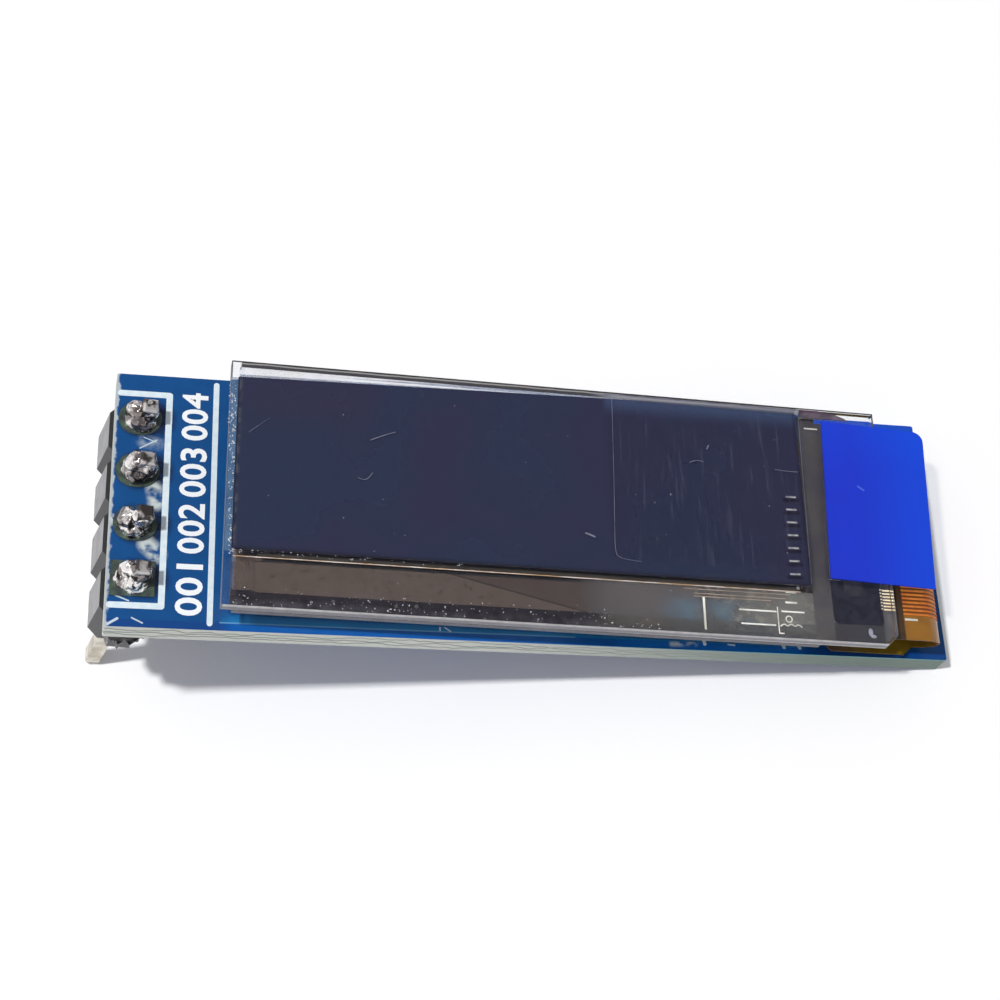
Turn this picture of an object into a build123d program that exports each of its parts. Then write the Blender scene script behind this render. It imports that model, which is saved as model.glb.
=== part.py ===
from build123d import *
import math
import os

# A small OLED display module: a narrow circuit board with a four-pin header along its left end,
# a glass display panel on foam tape, and a flex tail that leaves the glass at the right, folds
# back under it and is soldered to the board. Millimetres, +Z out of the display.
# The origin is the middle of the pin row, on the board's underside.

# Board
board_length = 38.0
board_width = 12.0
board_thickness = 1.2
board_corner_radius = 0.1
pin_row_inset = 1.1             # pin row from the board's left edge
copper_thickness = 0.05         # pads and plating stand this far above the laminate
ink_thickness = 0.02

# Pin header, soldered in at a slight lean
pin_count = 4
pin_pitch = 2.54
pin_size = 0.64
pin_stub = 1.4                  # pin above the board's top face
pin_tail = 6.0                  # pin below the housing
pin_tip_length = 0.5
pin_tip_taper = 16.0
pin_end_chamfer = 0.08
header_lean = 8.5
housing_size = 2.54
housing_notch = 0.45            # chamfer at each bay corner, which makes the V notches
seat_clearance = 0.01           # housing to the pads' left ends
burr_width = 1.25               # torn plastic where the strip was snapped off
burr_height = 1.4
burr_reach = 0.5
burr_drop = 0.85                # burr's top edge below the housing's top
burr_taper = 14.0

# Plated holes and their solder
hole_bore = 1.25
hole_plating = 0.05
pad_length = 1.9
pad_width = 1.62
fillet_margin = 0.08            # bare rim of each pad round its solder
fillet_height = 1.0
fillet_waist_height = 0.38
fillet_waist_radius = 0.68
fillet_top_radius = 0.52

# Printed lines on the board's top face
frame_line = 0.28
frame_gap = 0.27                # end pads to the frame's bars
frame_right_gap = 0.16          # pads' right ends to the frame's right bar
frame_left_gap = 0.2
divider_line = 0.25
divider_gap = 0.115             # divider to the glass
print_margin = 0.3              # long printed lines' ends to the board's edges
outline_line = 0.16
outline_gap = 1.7               # panel outline to the landing pads
tick_length = 0.3
tick_pitch = 0.75

# Display panel: a stack on foam tape, stuck on a little askew
panel_left = 4.65               # glass corner from the board's left edge
panel_front = 0.2               # glass corner from the board's front edge
panel_turn = -1.0
glass_length = 30.0
glass_width = 11.5
substrate_thickness = 0.55
substrate_chamfer = 0.45
glass_corner = 0.08
cap_left = 0.4
cap_right_gap = 3.4
cap_thickness = 0.5
seal_thickness = 0.05
seal_width = 0.8
recess_depth = 0.25
recess_corner = 0.3
desiccant_thickness = 0.15
desiccant_gap = 1.8             # recess wall to the desiccant sheet
oled_thickness = 0.02
oled_gap = 0.25                 # seal to the organic layers
oled_front = 2.38
tape_thickness = 1.37
tape_left = 0.6
tape_right_gap = 10.5
tape_front = 1.02
tape_back_gap = 0.5
polarizer_thickness = 0.15
polarizer_left = 0.3
polarizer_right_gap = 3.95
polarizer_front = 2.52
polarizer_back_gap_left = 0.85  # glass's back edge to the polarizer's slanted cut, at its left end
polarizer_back_gap_right = 0.18
film_thickness = 0.06
film_left = 0.35
film_right_gap = 3.75
film_front = 0.35
film_back_gap = 0.2

# Pull tab: a clear adhesive strip with a blue film on its free end
tab_overlap = 13.05             # glass under the strip
tab_front = 3.25
tab_turn = -2.3
tab_back_gap = 0.35
tab_clear_length = 10.0
tab_blue_length = 5.0
tab_corner = 0.5
tab_film_thickness = 0.08
adhesive_thickness = 0.05

# Driver chip and its black cover, under the glass at the right
cover_clearance = 0.04          # cover to the flex's bonded end
cover_length = 2.36
cover_front = 1.0
cover_back_gap = 1.0
cover_thickness = 0.4
cover_corner = 0.25
chip_inset = 0.6
chip_length = 0.9
chip_width = 6.8
chip_thickness = 0.28

# Flex tail
flex_thickness = 0.1
flex_bond = 0.4                 # flex under the glass's right edge
flex_reach = 2.55               # glass's right edge to the outside of the fold
flex_return = 4.75              # glass's right edge to the left end of the folded-back layer
flex_front = 0.5                # upper layer's front edge
flex_back_gap = 1.3
flex_skew = 0.38                # lower layer's shift to the back
ear_length = 4.34
ear_reach = 0.4
ear_chamfer = 0.42
trace_thickness = 0.02
trace_width = 0.3
trace_gap = 0.25                # end of the board pads to the ends of the traces

# Solder row between the flex and the board
joint_count = 14
joint_pitch = 0.62
joint_first = 1.3               # first joint from the board's front edge
joint_setback = 3.75            # glass's right edge to the joint row
joint_length = 0.7
joint_width = 0.32
joint_crown = 0.12
joint_crown_taper = 38.0
joint_corner = 0.1
landing_reach = 0.6             # joint row to the pads' right ends
landing_length = 3.4
landing_width = 0.36

# Components on the underside
chip_part_length = 1.6
chip_part_width = 0.8
capacitor_height = 0.8
resistor_height = 0.45
terminal_length = 0.32
terminal_skin = 0.02
component_pad_reach = 0.35      # pad past the end of the component
component_pad_margin = 0.05
solder_wedge_length = 0.26
solder_wedge_share = 0.6        # wedge height over the component's height
row_left = 17.5
row_pitch = 2.1
row_offset = 2.5
pump_capacitor_count = 5
row_resistor_count = 3
pullup_place = 5.6
pullup_spacing = 2.4
regulator_place = 11.4
regulator_capacitor_spacing = 3.1
regulator_length = 2.9
regulator_width = 1.3
regulator_height = 1.0
regulator_standoff = 0.08
regulator_bevel = 0.14
lead_width = 0.4
lead_thickness = 0.13
lead_pitch = 1.9
lead_span = 2.4
lead_foot = 0.42
lead_shoulder = 0.16
bracket_gap = 0.4
bracket_line = 0.15

# Places that follow from the sizes above
board_left = -pin_row_inset
board_front = -board_width / 2
print_half_length = board_width / 2 - print_margin
pin_places = [(i - (pin_count - 1) / 2) * pin_pitch for i in range(pin_count)]
pad_top = board_thickness + copper_thickness
tape_top = board_thickness + tape_thickness
cap_top = tape_top + cap_thickness
glass_bottom = cap_top + seal_thickness
glass_top = glass_bottom + substrate_thickness
polarizer_top = glass_top + polarizer_thickness
film_top = polarizer_top + film_thickness
adhesive_top = film_top + adhesive_thickness
housing_top = (copper_thickness + seat_clearance) / math.cos(math.radians(header_lean))
housing_top += pad_length / 2 * math.tan(math.radians(header_lean))
housing_bottom = housing_top + housing_size
tape_length = glass_length - tape_left - tape_right_gap
cap_length = glass_length - cap_left - cap_right_gap
polarizer_length = glass_length - polarizer_left - polarizer_right_gap
film_length = glass_length - film_left - film_right_gap
tab_left = glass_length - tab_overlap
tab_width = glass_width - tab_front - tab_back_gap
cover_left = glass_length - flex_bond - cover_clearance - cover_length
cover_width = glass_width - cover_front - cover_back_gap
chip_left = cover_left + chip_inset
flex_width = glass_width - flex_front - flex_back_gap
joint_place = panel_left + glass_length - joint_setback
landing_right = joint_place + landing_reach
landing_left = landing_right - landing_length
outline_place = landing_left - outline_gap
panel_place = Location((board_left + panel_left, board_front + panel_front, 0), (0, 0, panel_turn))
tab_place = panel_place * Location((tab_left, tab_front, 0), (0, 0, tab_turn))
header_place = Location((0, 0, 0), (0, header_lean, 0))


def save(shape, name):
    export_step(shape, f"parts/{name}.step")


def block(left, front, bottom, length, width, height):
    return Pos(left, front, bottom) * Box(length, width, height, align=(Align.MIN, Align.MIN, Align.MIN))


def plate(sketch, bottom, thickness):
    return Pos(0, 0, bottom) * extrude(sketch, amount=thickness)


def stroke(start, end, width):
    # A printed line with round ends
    run = math.dist(start, end)
    turn = math.degrees(math.atan2(end[1] - start[1], end[0] - start[0]))
    middle = Pos((start[0] + end[0]) / 2, (start[1] + end[1]) / 2)
    return middle * Rot(0, 0, turn) * SlotCenterToCenter(run, width)


# Board, plated holes and printed lines

def pcb_board():
    outline = RectangleRounded(board_length, board_width, board_corner_radius)
    board = plate(Pos(board_left + board_length / 2, 0) * outline, 0, board_thickness)
    for y in pin_places:
        board -= Pos(0, y, board_thickness / 2) * Cylinder(hole_bore / 2 + hole_plating, board_thickness)
    return board


def pad_outline(first, margin=0.0):
    length = pad_length - 2 * margin
    width = pad_width - 2 * margin
    if first:
        return Rectangle(length, width)
    return SlotOverall(length, width)


def plated_hole(index):
    outline = pad_outline(index == 0)
    hole = plate(outline, board_thickness, copper_thickness)
    hole += plate(outline, -copper_thickness, copper_thickness)
    hole += Pos(0, 0, board_thickness / 2) * Cylinder(hole_bore / 2 + hole_plating, board_thickness)
    height = board_thickness + 2 * copper_thickness
    hole -= Pos(0, 0, board_thickness / 2) * Cylinder(hole_bore / 2, height)
    return Pos(0, pin_places[index], 0) * hole


def silkscreen_lines():
    left = board_left + frame_left_gap
    right = pad_length / 2 + frame_right_gap + frame_line / 2
    back = pin_places[-1] + pad_width / 2 + frame_gap + frame_line / 2
    ink = stroke((left, back), (right, back), frame_line)
    ink += stroke((right, back), (right, -back), frame_line)
    ink += stroke((left, -back), (right, -back), frame_line)
    divider = board_left + panel_left - divider_gap - divider_line / 2
    ink += stroke((divider, -print_half_length), (divider, print_half_length), divider_line)
    outline = board_left + outline_place
    ink += stroke((outline, -print_half_length), (outline, print_half_length), outline_line)
    for i in range(2):
        tick = board_left + joint_place - i * tick_pitch
        foot = -print_half_length
        ink += stroke((tick, foot), (tick, foot + tick_length), outline_line)
    return plate(ink, board_thickness, ink_thickness)


def landing_places():
    return [board_front + joint_first + i * joint_pitch for i in range(joint_count)]


def flex_landing_pads():
    length = landing_right - landing_left
    left = board_left + landing_left
    pads = [
        block(left, y - landing_width / 2, board_thickness, length, landing_width, copper_thickness)
        for y in landing_places()
    ]
    return Compound(children=pads)


# Pin header and its solder

def header_housing():
    bay = extrude(chamfer(Rectangle(housing_size, pin_pitch).vertices(), housing_notch), amount=-housing_size)
    housing = Pos(0, pin_places[0], -housing_top) * bay
    for y in pin_places[1:]:
        housing += Pos(0, y, -housing_top) * bay
    end_face = pin_places[0] - pin_pitch / 2
    burr_middle = -housing_top - burr_drop - burr_height / 2
    face = Plane(origin=(0, end_face, burr_middle), x_dir=(1, 0, 0), z_dir=(0, -1, 0))
    housing += extrude(face * Rectangle(burr_width, burr_height), amount=burr_reach, taper=burr_taper)
    for y in pin_places:
        housing -= Pos(0, y, -housing_top - housing_size / 2) * Box(pin_size, pin_size, housing_size)
    return header_place * housing


def straight_pin(y):
    top = board_thickness + pin_stub
    bottom = -housing_bottom - pin_tail
    shaft_bottom = bottom + pin_tip_length
    shaft = Pos(0, y, shaft_bottom) * extrude(Rectangle(pin_size, pin_size), amount=top - shaft_bottom)
    shaft = chamfer(shaft.faces().sort_by(Axis.Z)[-1].edges(), pin_end_chamfer)
    tip = extrude(Rectangle(pin_size, pin_size), amount=pin_tip_length, taper=pin_tip_taper)
    return shaft + Pos(0, y, shaft_bottom) * Rot(180, 0, 0) * tip


def header_pin(index):
    return header_place * straight_pin(pin_places[index])


def pin_drift(height):
    # How far the leaning pin's axis has moved along X at a height
    return height * math.tan(math.radians(header_lean))


def header_solder(index):
    y = pin_places[index]
    foot = Pos(0, 0, pad_top) * pad_outline(index == 0, fillet_margin)
    waist_height = pad_top + fillet_waist_height
    crown_height = pad_top + fillet_height
    waist = Pos(pin_drift(waist_height), 0, waist_height) * Circle(fillet_waist_radius)
    crown = Pos(pin_drift(crown_height), 0, crown_height) * Circle(fillet_top_radius)
    joint = loft([foot.face(), waist.face(), crown.face()])
    fill_height = board_thickness + 2 * copper_thickness
    joint += Pos(0, 0, board_thickness / 2) * Cylinder(hole_bore / 2, fill_height)
    return Pos(0, y, 0) * joint - header_pin(index)


# Display panel, from the board up

def panel_tape():
    width = glass_width - tape_front - tape_back_gap
    tape = block(tape_left, tape_front, board_thickness, tape_length, width, tape_thickness)
    return panel_place * tape


def recess_outline(margin=0.0):
    length = cap_length - 2 * seal_width - 2 * margin
    width = glass_width - 2 * seal_width - 2 * margin
    middle = Pos(cap_left + cap_length / 2, glass_width / 2)
    return middle * RectangleRounded(length, width, recess_corner)


def cap_glass():
    outline = Pos(cap_left + cap_length / 2, glass_width / 2) * Rectangle(cap_length, glass_width)
    cap = plate(chamfer(outline.vertices(), glass_corner), tape_top, cap_thickness)
    cap -= plate(recess_outline(), cap_top - recess_depth, recess_depth)
    return panel_place * cap


def perimeter_seal():
    outline = Pos(cap_left + cap_length / 2, glass_width / 2) * Rectangle(cap_length, glass_width)
    ring = chamfer(outline.vertices(), glass_corner) - recess_outline()
    return panel_place * plate(ring, cap_top, seal_thickness)


def desiccant_sheet():
    return panel_place * plate(recess_outline(desiccant_gap), cap_top - recess_depth, desiccant_thickness)


def oled_stack():
    layers = recess_outline(oled_gap)
    layers -= Pos(glass_length / 2, oled_front / 2) * Rectangle(glass_length, oled_front)
    return panel_place * plate(layers, glass_bottom - oled_thickness, oled_thickness)


def substrate_glass():
    outline = Pos(glass_length / 2, glass_width / 2) * Rectangle(glass_length, glass_width)
    front_right = outline.vertices().sort_by(Axis.X)[-2:].sort_by(Axis.Y)[0]
    outline = chamfer(front_right, substrate_chamfer)
    others = outline.vertices().sort_by_distance((glass_length, 0))[2:]
    return panel_place * plate(chamfer(others, glass_corner), glass_bottom, substrate_thickness)


def polarizer():
    right = polarizer_left + polarizer_length
    corners = [
        (polarizer_left, polarizer_front),
        (right, polarizer_front),
        (right, glass_width - polarizer_back_gap_right),
        (polarizer_left, glass_width - polarizer_back_gap_left),
    ]
    sheet = make_face(Polyline(*corners, close=True))
    return panel_place * plate(sheet, glass_top, polarizer_thickness)


def protective_film():
    width = glass_width - film_front - film_back_gap
    film = block(film_left, film_front, polarizer_top, film_length, width, film_thickness)
    return panel_place * film


def pull_tab_adhesive():
    length = tab_clear_length + tab_blue_length
    outline = Pos(length / 2, tab_width / 2) * Rectangle(length, tab_width)
    free_corner = outline.vertices().sort_by_distance((length, tab_width))[0]
    strip = fillet(free_corner, tab_corner)
    return tab_place * plate(strip, film_top, adhesive_thickness)


def pull_tab():
    middle = Pos(tab_clear_length + tab_blue_length / 2, tab_width / 2)
    outline = middle * Rectangle(tab_blue_length, tab_width)
    free_corner = outline.vertices().sort_by_distance((tab_clear_length + tab_blue_length, tab_width))[0]
    tab = fillet(free_corner, tab_corner)
    return tab_place * plate(tab, adhesive_top, tab_film_thickness)


# Driver chip and cover

def chip_front():
    return cover_front + (cover_width - chip_width) / 2


def driver_ic():
    chip = block(chip_left, chip_front(), glass_bottom - chip_thickness, chip_length, chip_width, chip_thickness)
    return panel_place * chip


def ic_cover():
    outline = Pos(cover_left + cover_length / 2, cover_front + cover_width / 2)
    outline *= RectangleRounded(cover_length, cover_width, cover_corner)
    cover = panel_place * plate(outline, glass_bottom - cover_thickness, cover_thickness)
    return cover - driver_ic()


# Flex tail: upper layer, fold and lower layer share one bend

flex_top = glass_bottom - trace_thickness
flex_bottom = pad_top
fold_radius = (flex_top - flex_bottom) / 2
fold_middle = (flex_top + flex_bottom) / 2
fold_start = glass_length + flex_reach - fold_radius


def tail_profile(outer_radius, thickness, upper_left, lower_left):
    # The tail's section in the XZ plane: two straight layers and a half turn between them
    inner_radius = outer_radius - thickness
    section = Plane.XZ * (Pos(fold_start, fold_middle) * (Circle(outer_radius) - Circle(inner_radius)))
    left_half = block(fold_start - 2 * outer_radius, -1, 0, 2 * outer_radius, 2, 2 * glass_top)
    section -= left_half
    upper_length = fold_start - upper_left
    lower_length = fold_start - lower_left
    upper = Pos(upper_left + upper_length / 2, fold_middle + outer_radius - thickness / 2)
    lower = Pos(lower_left + lower_length / 2, fold_middle - outer_radius + thickness / 2)
    section += Plane.XZ * (upper * Rectangle(upper_length, thickness))
    section += Plane.XZ * (lower * Rectangle(lower_length, thickness))
    return section


def joint_places():
    # Joint centres in panel coordinates, over the board's pads
    places = []
    for y in landing_places():
        point = panel_place.inverse() * Pos(board_left + joint_place, y, 0)
        places.append((point.position.X, point.position.Y))
    return places


def joint_outline():
    # Each solder joint fills a slot of this shape in the tail
    return chamfer(Rectangle(joint_length, joint_width).vertices(), joint_corner)


def ear_outline():
    front = flex_front + flex_skew - ear_reach
    base = flex_front + flex_skew
    corners = [
        (fold_start - ear_length, base),
        (fold_start - ear_length + ear_chamfer, front),
        (fold_start - ear_chamfer, front),
        (fold_start, base),
    ]
    return make_face(Polyline(*corners, close=True))


def flex_cable():
    profile = tail_profile(fold_radius, flex_thickness, glass_length - flex_bond, glass_length - flex_return)
    sheet = Pos(0, glass_width, 0) * extrude(profile, amount=glass_width, dir=(0, -1, 0))
    top_front = flex_front
    bottom_front = flex_front + flex_skew
    sides = [
        (top_front, flex_top),
        (bottom_front, flex_bottom),
        (bottom_front + flex_width, flex_bottom),
        (top_front + flex_width, flex_top),
    ]
    skewed = extrude(Plane.YZ * make_face(Polyline(*sides, close=True)), amount=2 * glass_length)
    tail = sheet & skewed
    tail += plate(ear_outline(), flex_bottom, flex_thickness)
    for x, y in joint_places():
        tail -= Pos(x, y, 0) * plate(joint_outline(), flex_bottom, flex_thickness)
    return panel_place * tail


def flex_traces():
    radius = fold_radius + trace_thickness
    lower_left = landing_right + trace_gap - panel_left
    profile = tail_profile(radius, trace_thickness, glass_length - flex_bond, lower_left)
    traces = []
    for x, y in joint_places():
        strip = Pos(0, y + trace_width / 2, 0) * extrude(profile, amount=trace_width, dir=(0, -1, 0))
        traces.append(panel_place * strip)
    return Compound(children=traces)


def flex_solder_joints():
    outline = joint_outline()
    joints = []
    for x, y in joint_places():
        joint = plate(outline, flex_bottom, flex_thickness)
        crown = extrude(outline, amount=joint_crown, taper=joint_crown_taper)
        joint += Pos(0, 0, flex_bottom + flex_thickness) * crown
        joints.append(panel_place * Pos(x, y, 0) * joint)
    return Compound(children=joints)


# Components on the underside: built standing on Z = 0, then turned over

def underside(x, y, turn):
    return Pos(x, y, 0) * Rot(180, 0, 0) * Rot(0, 0, turn)


def capacitor_places():
    places = [underside(row_left + i * row_pitch, -row_offset, 90) for i in range(pump_capacitor_count)]
    for side in (-1, 1):
        places.append(underside(regulator_place + side * regulator_capacitor_spacing, row_offset, 90))
    return places


def resistor_places():
    places = [underside(row_left + i * row_pitch, row_offset, 90) for i in range(row_resistor_count)]
    for side in (-1, 1):
        places.append(underside(pullup_place, -row_offset + side * pullup_spacing / 2, 0))
    return places


def chip_component(height):
    # A chip with wrapped metal ends that stand proud of its body
    body_length = chip_part_length - 2 * terminal_length
    body_height = height - 2 * terminal_skin
    body = Pos(0, 0, copper_thickness + height / 2)
    body *= Box(body_length, chip_part_width - 2 * terminal_skin, body_height)
    end = Box(terminal_length, chip_part_width, height)
    for side in (-1, 1):
        offset = (chip_part_length - terminal_length) / 2
        body += Pos(side * offset, 0, copper_thickness + height / 2) * end
    return body


def end_solder(height):
    # The two pads of a chip, each with its wedge of solder
    wedge_height = height * solder_wedge_share
    pad_inner = chip_part_length / 2 - terminal_length
    pad_length_here = terminal_length + component_pad_reach
    pad_width_here = chip_part_width + 2 * component_pad_margin
    corners = [(0, 0), (solder_wedge_length, 0), (0, wedge_height)]
    wedge = extrude(Plane.XZ * make_face(Polyline(*corners, close=True)), amount=chip_part_width / 2, both=True)
    end = Pos(chip_part_length / 2, 0, copper_thickness) * wedge
    end += block(pad_inner, -pad_width_here / 2, 0, pad_length_here, pad_width_here, copper_thickness)
    return [end, Rot(0, 0, 180) * end]


def regulator_location():
    return underside(regulator_place, row_offset, 0)


def regulator_base():
    return copper_thickness + regulator_standoff


def regulator_body():
    body = Pos(0, 0, regulator_base() + regulator_height / 2)
    body *= Box(regulator_length, regulator_width, regulator_height)
    body = chamfer(body.edges().filter_by(Plane.XY), regulator_bevel)
    return regulator_location() * body


def lead_spots():
    return [(-lead_pitch / 2, -1), (lead_pitch / 2, -1), (0, 1)]


def regulator_leads():
    # Gull-wing leads: out of the body at half height, down, and a foot on the pad
    middle = regulator_base() + regulator_height / 2
    start = regulator_width / 2
    knee = start + lead_shoulder
    end = lead_span / 2
    foot = end - lead_foot
    low = copper_thickness
    corners = [
        (start, middle + lead_thickness / 2),
        (knee, middle + lead_thickness / 2),
        (foot + lead_thickness, low + lead_thickness),
        (end, low + lead_thickness),
        (end, low),
        (foot, low),
        (knee - lead_thickness, middle - lead_thickness / 2),
        (start, middle - lead_thickness / 2),
    ]
    profile = Plane.YZ * make_face(Polyline(*corners, close=True))
    lead = extrude(profile, amount=lead_width / 2, both=True)
    turned = Rot(0, 0, 180) * lead
    leads = []
    for x, side in lead_spots():
        leads.append(regulator_location() * Pos(x, 0, 0) * (lead if side > 0 else turned))
    return Compound(children=leads)


def lead_pads():
    foot = lead_span / 2 - lead_foot
    length = lead_foot + component_pad_reach
    width = lead_width + 4 * component_pad_margin
    pads = []
    for x, side in lead_spots():
        y = side * (foot + length / 2)
        pads.append(regulator_location() * Pos(x, y, copper_thickness / 2) * Box(width, length, copper_thickness))
    return pads


def component_solder():
    pieces = lead_pads()
    for place in capacitor_places():
        pieces += [place * end for end in end_solder(capacitor_height)]
    for place in resistor_places():
        pieces += [place * end for end in end_solder(resistor_height)]
    return Compound(children=pieces)


def rear_silkscreen_lines():
    # Two brackets beside each chip component
    reach = chip_part_length / 2 + component_pad_reach
    side = chip_part_width / 2 + bracket_gap
    ink = []
    for place in capacitor_places() + resistor_places():
        for y in (-side, side):
            ink.append(place * plate(Pos(0, y) * Rectangle(2 * reach, bracket_line), 0, ink_thickness))
    return Compound(children=ink)


def numbered(name, shapes):
    for index, shape in enumerate(shapes):
        save(shape, f"{name}_{index + 1}")


def main():
    os.makedirs("parts", exist_ok=True)
    save(pcb_board(), "pcb_board")
    numbered("plated_hole", [plated_hole(i) for i in range(pin_count)])
    save(silkscreen_lines(), "silkscreen_lines")
    save(rear_silkscreen_lines(), "rear_silkscreen_lines")
    save(flex_landing_pads(), "flex_landing_pads")
    save(header_housing(), "header_housing")
    numbered("header_pin", [header_pin(i) for i in range(pin_count)])
    numbered("header_solder", [header_solder(i) for i in range(pin_count)])
    save(panel_tape(), "panel_tape")
    save(cap_glass(), "cap_glass")
    save(perimeter_seal(), "perimeter_seal")
    save(desiccant_sheet(), "desiccant_sheet")
    save(oled_stack(), "oled_stack")
    save(substrate_glass(), "substrate_glass")
    save(polarizer(), "polarizer")
    save(protective_film(), "protective_film")
    save(pull_tab_adhesive(), "pull_tab_adhesive")
    save(pull_tab(), "pull_tab")
    save(driver_ic(), "driver_ic")
    save(ic_cover(), "ic_cover")
    save(flex_cable(), "flex_cable")
    save(flex_traces(), "flex_traces")
    save(flex_solder_joints(), "flex_solder_joints")
    save(regulator_body(), "regulator_body")
    save(regulator_leads(), "regulator_leads")
    numbered("capacitor", [place * chip_component(capacitor_height) for place in capacitor_places()])
    numbered("resistor", [place * chip_component(resistor_height) for place in resistor_places()])
    save(component_solder(), "component_solder")


main()
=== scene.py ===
import math
import random

import bmesh
import bpy
from bpy.props import FloatProperty, FloatVectorProperty, IntProperty, PointerProperty
from mathutils import Matrix, Vector


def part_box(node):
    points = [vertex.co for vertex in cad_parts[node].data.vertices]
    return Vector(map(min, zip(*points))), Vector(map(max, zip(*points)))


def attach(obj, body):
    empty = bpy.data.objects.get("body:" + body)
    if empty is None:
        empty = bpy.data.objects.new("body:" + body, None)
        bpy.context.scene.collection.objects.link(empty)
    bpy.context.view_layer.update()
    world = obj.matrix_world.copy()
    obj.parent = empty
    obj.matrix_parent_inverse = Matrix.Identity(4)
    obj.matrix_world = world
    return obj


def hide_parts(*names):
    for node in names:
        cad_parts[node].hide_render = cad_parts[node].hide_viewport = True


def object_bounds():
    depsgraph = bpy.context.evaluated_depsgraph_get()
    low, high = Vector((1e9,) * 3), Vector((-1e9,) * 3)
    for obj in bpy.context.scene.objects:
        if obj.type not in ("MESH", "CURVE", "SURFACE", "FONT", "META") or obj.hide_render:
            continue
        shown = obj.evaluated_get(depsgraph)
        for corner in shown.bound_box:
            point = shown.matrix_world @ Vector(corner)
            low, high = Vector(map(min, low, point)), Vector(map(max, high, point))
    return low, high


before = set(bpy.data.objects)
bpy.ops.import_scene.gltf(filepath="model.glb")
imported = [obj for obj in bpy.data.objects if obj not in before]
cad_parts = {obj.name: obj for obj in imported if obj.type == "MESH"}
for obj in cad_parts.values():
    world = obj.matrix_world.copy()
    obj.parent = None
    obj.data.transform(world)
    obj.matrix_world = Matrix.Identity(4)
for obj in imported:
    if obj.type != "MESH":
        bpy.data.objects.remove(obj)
cad_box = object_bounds()

bl_info = {
    "name": "Small OLED module",
    "version": (1, 0, 0),
    "blender": (4, 5, 0),
    "location": "View3D > Sidebar > OLED module",
    "description": "Finishes, solder, printed numbers and glass details of a small OLED display module",
    "category": "Object",
}

MM = 0.001
PIN_COUNT = 4

# Millimetres, on the board or the panel; heights are above the board's top face
BOARD_WIDTH = 12.0
PIN_PITCH = 2.54
PANEL_TURN = math.radians(-1.0)
GLASS_LENGTH = 30.0
GLASS_WIDTH = 11.5
GLASS_UNDERSIDE = 1.925         # just inside the front glass's lower face
GLASS_FACE = 2.47
FILM_FACE = 2.68
ADHESIVE_FACE = 2.73
FOLD_START = 31.625             # where the flex begins to turn under
FOLD_MIDDLE = 0.975
FOLD_RADIUS = 0.925

BOARD_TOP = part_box("pcb_board")[1].z
BOARD_CORNER = Vector((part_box("pcb_board")[0].x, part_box("pcb_board")[0].y, BOARD_TOP))


def colour(red, green, blue):
    """A display colour, 0 to 255 a channel, as linear light."""
    linear = []
    for channel in (red, green, blue):
        share = channel / 255
        linear.append(share / 12.92 if share <= 0.04045 else ((share + 0.055) / 1.055) ** 2.4)
    return tuple(linear)


def panel_matrix():
    """The display panel's own frame: its front left glass corner on the board's top face."""
    turn = Matrix.Rotation(PANEL_TURN, 4, "Z")
    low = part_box("substrate_glass")[0]
    corner = Vector((low.x, low.y - GLASS_LENGTH * MM * math.sin(PANEL_TURN), BOARD_TOP))
    return Matrix.Translation(corner) @ turn


def colour_property(name, description, default):
    return FloatVectorProperty(
        name=name, description=description, default=default, subtype="COLOR", size=3, min=0.0, max=1.0
    )


def length_property(name, description, default):
    return FloatProperty(name=name, description=description, default=default, unit="LENGTH", precision=5)


class ModuleColours(bpy.types.PropertyGroup):
    board: colour_property("Board", "Solder mask over copper", colour(9, 77, 138))
    board_dark: colour_property("Board margin", "Solder mask over bare laminate", colour(10, 66, 132))
    board_edge: colour_property("Board edge", "Cut glass-fibre laminate", colour(208, 212, 204))
    ink: colour_property("Ink", "Printed lines and numbers", colour(226, 238, 242))
    flux: colour_property("Flux", "Burnt flux round the joints", colour(16, 30, 62))
    display: colour_property("Display", "Polarizer with the display off", colour(45, 46, 71))
    tape: colour_property("Tape", "Foam tape seen through the glass", colour(128, 109, 97))
    # Painted shade: the tape's colour past its diagonal edge
    painted_shade_tape: colour_property("Shaded tape", "Foam tape past its diagonal edge", colour(106, 86, 78))
    gold: colour_property("Gold line", "Metal edge in the glass", colour(234, 220, 210))
    tab: colour_property("Pull tab", "Blue film of the pull tab", colour(14, 72, 217))
    flex: colour_property("Flex", "Amber polyimide film", colour(150, 102, 34))
    copper: colour_property("Copper", "Traces on the flex", colour(232, 140, 50))
    cover: colour_property("Cover", "Light-tight cover over the chip", colour(64, 66, 84))


class ModuleSizes(bpy.types.PropertyGroup):
    number_height: length_property("Number height", "Height of the printed numbers", 1.16 * MM)
    number_length: length_property("Number length", "Length of each printed number", 2.36 * MM)
    number_place: length_property("Number place", "Board's left edge to the numbers' middle", 3.56 * MM)
    number_pitch: length_property("Number pitch", "From one number to the next", 2.71 * MM)
    ink_height: length_property("Ink height", "Printed numbers above the board", 0.012 * MM)
    solder_lump: length_property("Solder lump", "Depth of the lumps in a solder joint", 0.3 * MM)
    line_width: length_property("Line width", "Fine lines in the glass", 0.042 * MM)
    trace_pitch: length_property("Trace pitch", "Copper lines on the flex", 0.19 * MM)
    trace_count: IntProperty(name="Traces", description="Copper lines on the flex", default=38, min=2)
    dust_count: IntProperty(name="Dust", description="Dust grains on the panel", default=420, min=2)


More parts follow.
